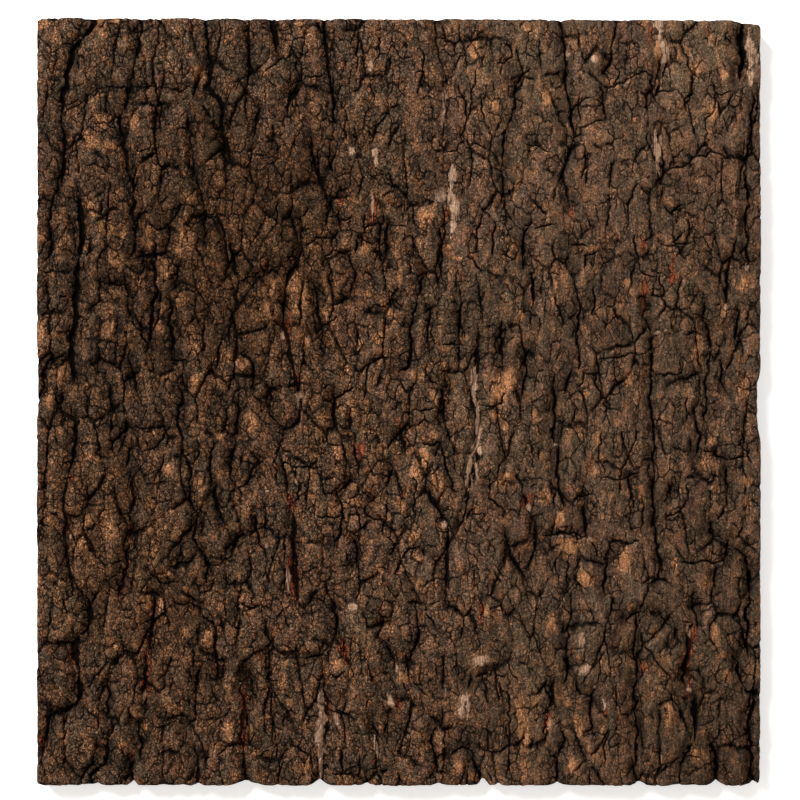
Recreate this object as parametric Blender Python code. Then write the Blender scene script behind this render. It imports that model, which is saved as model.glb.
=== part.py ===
"""A slab of thick natural bark, sawn square and pressed flat.

It lies on its level inner back with the furrowed outer crust up. X runs across the trunk and
Y along it. The origin is the middle of the underside. Routes and outline are in millimetres
from that middle, and everything is built in metres.
"""

import bmesh
import bpy
import numpy as np

MM = 0.001

# Driving dimensions, in millimetres
WIDTH = 547.0
LENGTH = 581.0
THICKNESS = 24.0
CORNER_RADIUS = 4.0

# Crust: how the plates between the furrows roll, and how far the sawn rim is worn down
PLATE_ROLL = 1.2
RIM_WEAR = 1.6
RIM_REACH = 4.0
LEAST_BARK = 8.0

# Mesh: the spacing of the surface grid, and the triangles kept on the crust
GRID_STEP = 3.0
CRUST_TRIANGLES = 5200
ROUTE_STEP = 2.0

# Where the furrows break out of the bottom edge: X, how deep the notch is, its half width
BOTTOM_NOTCHES = (
    (-228, 1.5, 3), (-201, 3.0, 3), (-151, 1.6, 4), (-116, 2.6, 11), (-60, 4.0, 5),
    (-24, 1.6, 5), (30, 2.4, 5), (64, 5.0, 3), (76, 1.4, 2), (120, 2.6, 5),
    (183, 3.0, 4), (224, 1.4, 3), (241, 3.0, 5), (269, 2.6, 3),
)

# The furrows of the crust: width, depth, and the route of the bottom line
FURROWS = {
    # Left third, from the top down
    "top_left": (8, 10, ((-226, 296), (-232, 284), (-247, 266), (-251, 245), (-255, 217))),
    "left_margin": (6, 8, ((-255, 217), (-252, 195), (-253, 175), (-262, 152), (-263, 125),
                           (-264, 104), (-260, 80))),
    "cross_arm": (4, 5, ((-255, 216), (-244, 223), (-226, 237), (-190, 238), (-160, 237))),
    "left_long": (6, 8, ((-195, 296), (-196, 270), (-203, 240), (-212, 215), (-205, 180),
                         (-200, 148), (-199, 122), (-201, 108))),
    "left_crown": (4, 6, ((-182, 296), (-181, 270), (-186, 252), (-180, 225), (-180, 203))),
    "crown_slot": (7, 9, ((-145, 296), (-146, 268), (-141, 255), (-146, 238), (-133, 224),
                          (-133, 200), (-126, 183))),
    "inner_left": (4, 7, ((-157, 208), (-155, 180), (-149, 158), (-147, 140), (-149, 120))),
    "left_valley": (9, 11, ((-243, 155), (-239, 132), (-241, 112), (-243, 85), (-247, 62),
                            (-248, 42), (-246, 16))),
    "plate_foot": (4, 6, ((-192, 137), (-181, 130), (-172, 136), (-166, 150))),
    "hollow_bar": (7, 8, ((-203, 104), (-188, 110), (-176, 113), (-174, 132))),
    "hollow_run": (5, 8, ((-176, 112), (-166, 101), (-169, 89))),
    "step_left": (4, 7, ((-230, 92), (-214, 88), (-206, 82), (-204, 62), (-190, 54))),
    "pair_outer": (6, 9, ((-190, 106), (-183, 86), (-186, 68), (-188, 42))),
    "pair_inner": (4, 8, ((-173, 80), (-171, 70), (-175, 58), (-170, 50), (-171, 33))),
    "left_arc": (3, 5, ((-173, 83), (-159, 90), (-147, 76), (-139, 63))),
    "split_a": (3, 6, ((-212, 62), (-212, 48), (-215, 30))),
    "split_b": (4, 8, ((-203, 37), (-201, 24), (-197, 4))),
    "split_c": (4, 8, ((-222, 18), (-217, 4), (-218, -24))),
    "split_d": (3, 7, ((-224, 37), (-228, 28), (-227, 19))),
    "knob_arc": (5, 8, ((-254, 35), (-265, 31), (-269, 14), (-274, -4))),
    "edge_hollow": (6, 9, ((-255, 6), (-256, -6), (-253, -15))),
    "valley_lower": (8, 10, ((-248, -10), (-243, -21), (-247, -46), (-253, -72), (-251, -92),
                             (-250, -120), (-247, -146))),
    "zigzag": (3, 6, ((-251, -86), (-244, -88), (-236, -79), (-235, -63))),
    "cross_left": (5, 7, ((-217, -37), (-213, -28), (-204, -20), (-188, -20), (-171, -19))),
    "mid_left_long": (6, 10, ((-201, -34), (-207, -50), (-202, -60), (-200, -78), (-204, -95),
                              (-206, -116), (-205, -126), (-211, -144))),
    "diag_left": (3, 6, ((-196, -38), (-181, -31), (-171, -20))),
    "plate_side": (5, 8, ((-164, 10), (-166, -4), (-167, -18), (-163, -32), (-163, -42),
                          (-157, -50), (-158, -74), (-150, -86), (-156, -104), (-146, -118),
                          (-145, -130), (-150, -140))),
    "low_bar": (4, 6, ((-189, -127), (-180, -137), (-166, -136))),
    "low_slit": (3, 6, ((-168, -128), (-166, -118), (-163, -107))),
    "red_valley": (9, 10, ((-237, -146), (-233, -160), (-236, -174), (-246, -184), (-242, -205),
                           (-242, -226), (-254, -233), (-266, -239), (-266, -257))),
    "left_foot": (5, 8, ((-220, -211), (-221, -236), (-217, -246), (-220, -262), (-222, -274),
                         (-232, -282), (-234, -296))),
    "sliver_run": (6, 8, ((-184, -146), (-187, -168), (-187, -190), (-192, -214), (-192, -238),
                          (-197, -246), (-195, -264), (-202, -276), (-201, -296))),
    "foot_b": (5, 8, ((-151, -198), (-152, -216), (-154, -236), (-161, -248), (-161, -257))),
    "foot_c": (5, 6, ((-155, -260), (-152, -272), (-151, -296))),
    "long_b": (5, 9, ((-171, -151), (-158, -153), (-147, -162), (-140, -172), (-138, -192),
                      (-137, -210))),
    # Middle third
    "centre_g": (5, 7, ((-112, 296), (-114, 275), (-108, 245))),
    "centre_h": (7, 8, ((-97, 296), (-94, 280), (-91, 262))),
    "centre_slant": (6, 8, ((-77, 262), (-74, 243), (-80, 232), (-84, 216))),
    "centre_i": (6, 8, ((-57, 296), (-56, 275), (-53, 250), (-47, 209))),
    "centre_v": (8, 9, ((-66, 201), (-65, 185), (-57, 163), (-53, 152), (-46, 140), (-47, 127),
                        (-51, 117))),
    "centre_v_arm": (4, 6, ((-53, 153), (-46, 156), (-39, 162))),
    "centre_w": (6, 8, ((-106, 224), (-108, 210), (-110, 200))),
    "long_w": (6, 9, ((-137, 140), (-130, 122), (-124, 103), (-121, 91), (-124, 78), (-128, 52),
                      (-133, 42), (-139, 24))),
    "cross_w": (4, 6, ((-121, 91), (-113, 93), (-104, 94), (-96, 100), (-89, 94))),
    "arch_w": (5, 8, ((-122, 38), (-112, 31), (-110, 18), (-108, 4), (-103, -4))),
    "red_y": (9, 9, ((-79, 140), (-74, 130), (-73, 118), (-77, 104), (-85, 91), (-87, 72),
                     (-86, 52), (-81, 34), (-78, 12))),
    "centre_z": (5, 8, ((-65, 88), (-62, 74), (-58, 56), (-58, 32))),
    "centre_aa": (4, 7, ((-38, 111), (-33, 93), (-38, 78))),
    "centre_bb": (6, 8, ((-8, 135), (-10, 120), (-12, 104))),
    "plate_ring": (5, 8, ((-98, 8), (-97, -10), (-87, -20), (-77, -17), (-75, -6))),
    "centre_cc": (6, 9, ((-50, 6), (-49, -8), (-49, -19))),
    "centre_dd": (6, 9, ((-36, -12), (-36, -21), (-32, -38), (-30, -56))),
    "shade_run": (7, 7, ((-122, -2), (-123, -24), (-126, -46), (-121, -66), (-112, -56),
                         (-105, -46), (-95, -48))),
    "centre_ee": (5, 9, ((-32, -59), (-43, -66), (-42, -84), (-43, -98), (-49, -111))),
    "wedge": (5, 8, ((-5, -50), (-9, -62), (-20, -75), (-25, -82))),
    "centre_ff": (4, 7, ((-35, -103), (-31, -115), (-36, -125))),
    "centre_gg": (5, 8, ((-108, -86), (-108, -100), (-100, -118))),
    "edge_hh": (7, 9, ((-138, -63), (-140, -76), (-132, -92))),
    "hollow_hh": (7, 8, ((-121, -101), (-125, -115), (-140, -124))),
    "red_ii": (7, 6, ((-80, -92), (-79, -125), (-79, -152))),
    "arc_jj": (5, 8, ((-66, -148), (-51, -154), (-48, -166), (-47, -178), (-42, -193))),
    "bar_jj": (4, 6, ((-74, -193), (-60, -192), (-51, -186))),
    "cream_kk": (7, 7, ((-56, -210), (-55, -232), (-58, -256), (-58, -278), (-60, -296))),
    "slot_ll": (5, 8, ((-113, -202), (-109, -223))),
    "red_mm": (7, 8, ((-119, -217), (-118, -245), (-117, -270), (-116, -296))),
    "hook_nn": (4, 8, ((-12, -163), (-16, -178), (-8, -186), (-3, -206))),
    "slot_oo": (4, 8, ((-8, -235), (-9, -248), (-16, -254), (-20, -241))),
    # Right third
    "ridge_a": (3, 5, ((27, 296), (29, 262), (35, 240), (33, 200), (40, 176), (42, 150))),
    "right_k": (5, 8, ((88, 241), (86, 215), (79, 200), (78, 160), (80, 146), (93, 129))),
    "right_l": (5, 8, ((119, 296), (126, 258), (126, 236), (133, 199), (123, 170), (129, 146))),
    "right_m": (4, 7, ((166, 296), (161, 258), (153, 247), (154, 222))),
    "inset_n": (7, 8, ((204, 256), (199, 238), (193, 202), (197, 172), (198, 150))),
    "margin_o": (8, 10, ((259, 296), (259, 245), (267, 215), (262, 180), (262, 150))),
    "margin_p": (5, 9, ((262, 150), (264, 122), (263, 102))),
    "centre_mm": (5, 8, ((30, 131), (32, 112), (30, 90))),
    "centre_nn": (7, 10, ((19, 95), (15, 80), (9, 62), (10, 34), (0, 22))),
    "centre_pp": (4, 7, ((20, 73), (24, 62), (22, 40))),
    "centre_oo": (5, 8, ((47, 88), (46, 68), (49, 51))),
    "cream_rr": (6, 5, ((60, 53), (59, 30), (56, 4), (58, -24), (53, -65), (49, -92),
                        (43, -101))),
    "right_qq": (6, 9, ((98, 134), (94, 112), (95, 100), (102, 86), (102, 68), (99, 57))),
    "right_ss": (5, 8, ((76, 54), (79, 40), (79, 26))),
    "right_tt": (5, 8, ((99, 38), (96, 24), (94, 4))),
    "right_uu": (5, 7, ((137, 72), (135, 52), (136, 26))),
    "hollow_uu": (6, 8, ((130, 25), (127, 12), (123, 4))),
    "slot_vv": (7, 9, ((36, 12), (34, -8), (37, -26), (32, -33), (36, -50), (43, -68))),
    "knot_vv": (8, 8, ((0, -20), (3, -30), (3, -42))),
    "slot_ww": (5, 8, ((24, -68), (26, -78), (33, -90))),
    "band_ww": (6, 6, ((37, -95), (37, -118), (36, -150))),
    "oval_left": (5, 8, ((80, -97), (83, -112), (96, -135))),
    "oval_right": (5, 8, ((103, -90), (104, -106), (96, -127))),
    "oval_top": (4, 7, ((91, -50), (92, -67), (98, -82))),
    "shield": (4, 6, ((84, -41), (75, -54), (68, -71), (81, -85))),
    "right_ai": (6, 9, ((118, 10), (118, -16), (120, -40), (120, -60), (126, -79))),
    "cross_am": (4, 6, ((108, -101), (124, -99), (141, -101))),
    "right_ao": (6, 9, ((141, -74), (141, -95), (149, -110), (150, -118))),
    "long_xx": (6, 8, ((187, 72), (190, 50), (191, 12), (192, -30), (192, -72), (194, -106),
                       (199, -130))),
    "right_yy": (7, 10, ((231, 74), (234, 48), (235, 25), (232, 0), (231, -16))),
    "hollow_zz": (7, 9, ((256, 71), (255, 46))),
    "hollow_z2": (6, 9, ((250, 108), (248, 96), (248, 74))),
    "slot_aq": (5, 9, ((223, -5), (226, -22), (225, -40))),
    "arc_as": (5, 7, ((231, -37), (249, -44), (247, -62))),
    "slot_au": (5, 8, ((173, -56), (176, -74), (175, -92))),
    "slot_av": (4, 7, ((206, -63), (201, -75))),
    "slot_aw": (6, 9, ((244, -82), (236, -94), (246, -108), (246, -120))),
    "margin_ax": (7, 10, ((249, -109), (263, -118), (265, -142), (262, -165), (264, -194))),
    "slot_az": (6, 8, ((158, -119), (156, -144))),
    "slot_ay": (4, 7, ((238, -123), (239, -142))),
    "low_ba": (5, 8, ((13, -146), (15, -176), (9, -196))),
    "low_bd": (4, 8, ((130, -146), (127, -184), (125, -214))),
    "low_be": (8, 7, ((117, -210), (114, -236))),
    "low_bf": (5, 8, ((124, -249), (122, -268), (121, -296))),
    "low_bg": (5, 8, ((28, -246), (24, -257), (29, -272), (29, -296))),
    "low_bh": (5, 9, ((39, -268), (49, -261), (57, -272), (65, -296))),
    "low_bb": (5, 8, ((53, -215), (55, -207), (68, -206))),
    "low_bi": (5, 8, ((148, -216), (145, -234), (146, -249))),
    "long_bj": (5, 9, ((182, -159), (179, -178), (179, -205), (178, -232), (179, -270),
                       (183, -296))),
    "low_bk": (4, 7, ((194, -160), (209, -171), (206, -183))),
    "low_bm": (9, 10, ((222, -152), (224, -172), (216, -196), (217, -217), (224, -224),
                       (224, -256), (213, -273), (212, -296))),
    "low_bn": (6, 8, ((234, -257), (241, -274), (241, -296))),
    "low_bp": (6, 9, ((252, -193), (258, -208), (268, -220))),
    "margin_bq": (6, 9, ((268, -220), (266, -252), (267, -280), (271, -296))),
}


def outline(across, along):
    """Places unit coordinates (0 to 1 each way) inside the slab's sawn, slightly uneven rim."""
    x_line = (across - 0.5) * WIDTH
    y_line = (along - 0.5) * LENGTH
    left = -WIDTH / 2 + 0.5 * (1 + np.sin(y_line / 41))
    right = WIDTH / 2 - 0.4 * (1 + np.sin(y_line / 53))
    right = right - 2.4 * np.exp(-((y_line - 0) / 22) ** 6)
    top = LENGTH / 2 - 2.4 * across - 0.3 * (1 + np.sin(x_line / 17))
    top = top - 3.0 * np.exp(-((x_line - 272) / 9) ** 2)
    bottom = -LENGTH / 2 + 0.5 * (1 + np.sin(x_line / 23))
    for place, depth, half_width in BOTTOM_NOTCHES:
        bottom = bottom + depth * np.exp(-((x_line - place) / half_width) ** 2)
    x = left + across * (right - left)
    y = bottom + along * (top - bottom)
    return round_corners(x, y, left, right, bottom, top)


def round_corners(x, y, left, right, bottom, top):
    """Draws the square corners in to an arc of CORNER_RADIUS."""
    middle_x = (left + right) / 2
    middle_y = (bottom + top) / 2
    in_x = (right - left) / 2 - np.abs(x - middle_x)
    in_y = (top - bottom) / 2 - np.abs(y - middle_y)
    near_x = np.clip(1 - in_x / CORNER_RADIUS, 0, 1)
    near_y = np.clip(1 - in_y / CORNER_RADIUS, 0, 1)
    reach = np.maximum(np.hypot(near_x, near_y), 1e-9)
    pull = np.maximum(near_x, near_y) / reach
    both = (near_x > 0) & (near_y > 0)
    pull = np.where(both, pull, 1.0)
    x = x - np.sign(x - middle_x) * near_x * (1 - pull) * CORNER_RADIUS
    y = y - np.sign(y - middle_y) * near_y * (1 - pull) * CORNER_RADIUS
    return x, y, np.minimum(in_x, in_y)


def smooth_route(points):
    """Reads a Catmull-Rom curve through a route's points every ROUTE_STEP millimetres."""
    points = np.array(points, dtype=float)
    before = 2 * points[0] - points[1]
    after = 2 * points[-1] - points[-2]
    padded = np.vstack([before, points, after])
    curve = []
    for a, b, c, d in zip(padded, padded[1:], padded[2:], padded[3:]):
        steps = max(2, int(np.hypot(*(c - b)) / ROUTE_STEP))
        t = np.linspace(0, 1, steps, endpoint=False)[:, None]
        curve.append(0.5 * (2 * b + (c - a) * t + (2 * a - 5 * b + 4 * c - d) * t ** 2
                            + (3 * b - a - 3 * c + d) * t ** 3))
    curve.append(points[-1:])
    return np.vstack(curve)


def cut_furrows(x, y):
    """How deep the furrows lie below the plates at each point."""
    cut = np.zeros_like(x)
    for width, depth, points in FURROWS.values():
        route = smooth_route(points)
        reach = width / 2 + 1.5
        along = np.linspace(0, 1, len(route))
        taper = np.clip(np.minimum(along, 1 - along) * len(route) * ROUTE_STEP / width, 0.25, 1)
        for (px, py), ease in zip(route, taper):
            near = np.hypot(x - px, y - py) / reach
            wall = np.clip(1 - near, 0, 1)
            cut = np.maximum(cut, depth * ease * wall ** 0.7)
    return cut


def crust_height(x, y, inset):
    """Height of the crust above the back: rolling plates, a worn rim, and the furrows."""
    roll = np.sin(x / 17 + 0.6 * np.sin(y / 43)) * np.sin(y / 31 + 0.8 * np.sin(x / 37))
    swell = np.sin(x / 83 + 1.0) * np.cos(y / 97)
    plates = THICKNESS - PLATE_ROLL * (1 - 0.6 * roll - 0.4 * swell)
    worn = RIM_WEAR * np.exp(-inset / RIM_REACH)
    return np.maximum(plates - worn - cut_furrows(x, y), LEAST_BARK)


def bark_material():
    material = bpy.data.materials.new("bark")
    material.use_nodes = True
    shader = material.node_tree.nodes["Principled BSDF"]
    shader.inputs["Base Color"].default_value = (0.062, 0.033, 0.019, 1)
    shader.inputs["Roughness"].default_value = 0.9
    shader.inputs["Metallic"].default_value = 0.0
    material.diffuse_color = (0.062, 0.033, 0.019, 1)
    return material


def crust_sheet():
    """The outer crust as an open sheet, thinned to the triangles that its shape needs."""
    columns = int(WIDTH / GRID_STEP)
    rows = int(LENGTH / GRID_STEP)
    sheet = bmesh.new()
    bmesh.ops.create_grid(sheet, x_segments=columns, y_segments=rows, size=0.5)
    unit = np.array([vertex.co[:] for vertex in sheet.verts]) + 0.5
    x, y, inset = outline(unit[:, 0], unit[:, 1])
    z = crust_height(x, y, inset)
    for vertex, place in zip(sheet.verts, np.column_stack([x, y, z]) * MM):
        vertex.co = place
    mesh = bpy.data.meshes.new("crust_sheet")
    sheet.to_mesh(mesh)
    sheet.free()
    guide = bpy.data.objects.new("crust_sheet", mesh)
    bpy.context.collection.objects.link(guide)
    thin = guide.modifiers.new("thin", "DECIMATE")
    thin.ratio = CRUST_TRIANGLES / (2 * columns * rows)
    return guide


def slab(guide):
    """Closes the crust into a solid: sawn sides straight down, and a flat back at z = 0."""
    solid = bmesh.new()
    solid.from_object(guide, bpy.context.evaluated_depsgraph_get())
    rim = [edge for edge in solid.edges if edge.is_boundary]
    sides = bmesh.ops.extrude_edge_only(solid, edges=rim)["geom"]
    foot = [item for item in sides if isinstance(item, bmesh.types.BMVert)]
    for vertex in foot:
        vertex.co.z = 0
    bmesh.ops.contextual_create(solid, geom=[edge for edge in solid.edges if edge.is_boundary])
    bmesh.ops.recalc_face_normals(solid, faces=solid.faces)
    mesh = bpy.data.meshes.new("bark")
    solid.to_mesh(mesh)
    solid.free()
    mesh.materials.append(bark_material())
    bark = bpy.data.objects.new("bark", mesh)
    bpy.context.collection.objects.link(bark)
    bpy.data.objects.remove(guide)
    return bark


for old in list(bpy.data.objects):
    bpy.data.objects.remove(old)
slab(crust_sheet())
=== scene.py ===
import bpy
import numpy as np
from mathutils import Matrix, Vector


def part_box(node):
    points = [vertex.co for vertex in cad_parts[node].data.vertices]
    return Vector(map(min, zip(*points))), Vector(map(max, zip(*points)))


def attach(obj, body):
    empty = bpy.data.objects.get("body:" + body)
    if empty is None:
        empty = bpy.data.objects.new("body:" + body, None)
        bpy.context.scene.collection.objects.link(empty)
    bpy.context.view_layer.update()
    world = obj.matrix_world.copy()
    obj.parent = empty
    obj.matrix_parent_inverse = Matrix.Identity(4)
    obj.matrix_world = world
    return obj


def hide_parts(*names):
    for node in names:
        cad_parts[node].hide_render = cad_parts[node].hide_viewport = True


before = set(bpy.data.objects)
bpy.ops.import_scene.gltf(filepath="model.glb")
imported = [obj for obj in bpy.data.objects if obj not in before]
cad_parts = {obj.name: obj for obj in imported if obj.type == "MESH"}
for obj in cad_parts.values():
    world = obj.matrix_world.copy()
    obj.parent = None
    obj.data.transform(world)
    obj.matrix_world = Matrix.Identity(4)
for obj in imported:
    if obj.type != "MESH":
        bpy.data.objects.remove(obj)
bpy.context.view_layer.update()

# --------------------------------------------------------------------------------------------
# The sawn slab: a square of thick natural bark, cut from the trunk, steamed and pressed flat.
# The saw leaves near straight sides, which break out a little where a furrow reaches the
# bottom edge. Sizes are in millimetres from the slab's middle; the mesh is made in metres.
# --------------------------------------------------------------------------------------------
MM = 0.001
low, high = (np.array(corner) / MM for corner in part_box("bark"))
SAW_MARGIN = 0.2
WIDTH = high[0] - low[0] - 2 * SAW_MARGIN
LENGTH = high[1] - low[1] - 2 * SAW_MARGIN
CROWN = high[2] - 0.1
CORNER_RADIUS = 4.0
GRID_STEP = 0.75
SAW_RIPPLE = 0.4
TOP_SLOPE = 2.4
TOP_CHIP_X, TOP_CHIP_DEPTH, TOP_CHIP_REACH = 272, 3.0, 9
RIGHT_HOLLOW_DEPTH, RIGHT_HOLLOW_REACH = 2.3, 22

# Where the furrows break out of the bottom edge: X, how deep the notch is, its half width
BOTTOM_NOTCHES = (
    (-228, 1.4, 4), (-201, 3.0, 4), (-151, 1.4, 5), (-116, 2.4, 15), (-60, 4.0, 7),
    (-24, 1.4, 7), (30, 1.6, 6), (64, 5.4, 4.5), (76, 1.4, 4), (120, 2.0, 5),
    (183, 2.8, 5), (224, 1.2, 4), (241, 2.8, 7), (269, 2.6, 5),
)


def wave(place, lengths, seed):
    """A fixed, uneven ripple between -1 and 1, from a few sines of the given lengths."""
    turn = np.random.default_rng(seed).uniform(0, 6.28, len(lengths))
    return sum(np.sin(6.28 * place / size + start) for size, start in zip(lengths, turn)) / len(lengths)


def rim_lines(x_line, y_line):
    """The slab's left, right, bottom and top sawn lines."""
    left = -WIDTH / 2 + SAW_RIPPLE * (1 + wave(y_line, (260, 83, 31, 12, 5), 1))
    right = WIDTH / 2 - SAW_RIPPLE * (1 + wave(y_line, (300, 91, 37, 13, 5), 2))
    right = right - RIGHT_HOLLOW_DEPTH * np.exp(-(y_line / RIGHT_HOLLOW_REACH) ** 6)
    top = LENGTH / 2 - TOP_SLOPE * (x_line / WIDTH + 0.5)
    top = top - SAW_RIPPLE * (1 + wave(x_line, (71, 29, 11, 5), 3))
    top = top - TOP_CHIP_DEPTH * np.exp(-((x_line - TOP_CHIP_X) / TOP_CHIP_REACH) ** 2)
    bottom = -LENGTH / 2 + SAW_RIPPLE * (1 + wave(x_line, (67, 27, 12, 5), 4))
    for place, depth, half_width in BOTTOM_NOTCHES:
        bottom = bottom + depth * np.clip(1 - np.abs(x_line - place) / half_width, 0, 1) ** 1.2
    return left, right, bottom, top


def saw_outline(across, along):
    """Puts unit coordinates inside the sawn outline, with the corners worn round."""
    left, right, bottom, top = rim_lines((across - 0.5) * WIDTH, (along - 0.5) * LENGTH)
    x = left + across * (right - left)
    y = bottom + along * (top - bottom)
    middle_x, middle_y = (left + right) / 2, (bottom + top) / 2
    in_x = (right - left) / 2 - np.abs(x - middle_x)
    in_y = (top - bottom) / 2 - np.abs(y - middle_y)
    near_x = np.clip(1 - in_x / CORNER_RADIUS, 0, 1)
    near_y = np.clip(1 - in_y / CORNER_RADIUS, 0, 1)
    pull = np.maximum(near_x, near_y) / np.maximum(np.hypot(near_x, near_y), 1e-9)
    pull = np.where((near_x > 0) & (near_y > 0), pull, 1.0)
    x = x - np.sign(x - middle_x) * near_x * (1 - pull) * CORNER_RADIUS
    y = y - np.sign(y - middle_y) * near_y * (1 - pull) * CORNER_RADIUS
    return x, y, np.minimum(in_x, in_y)


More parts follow.
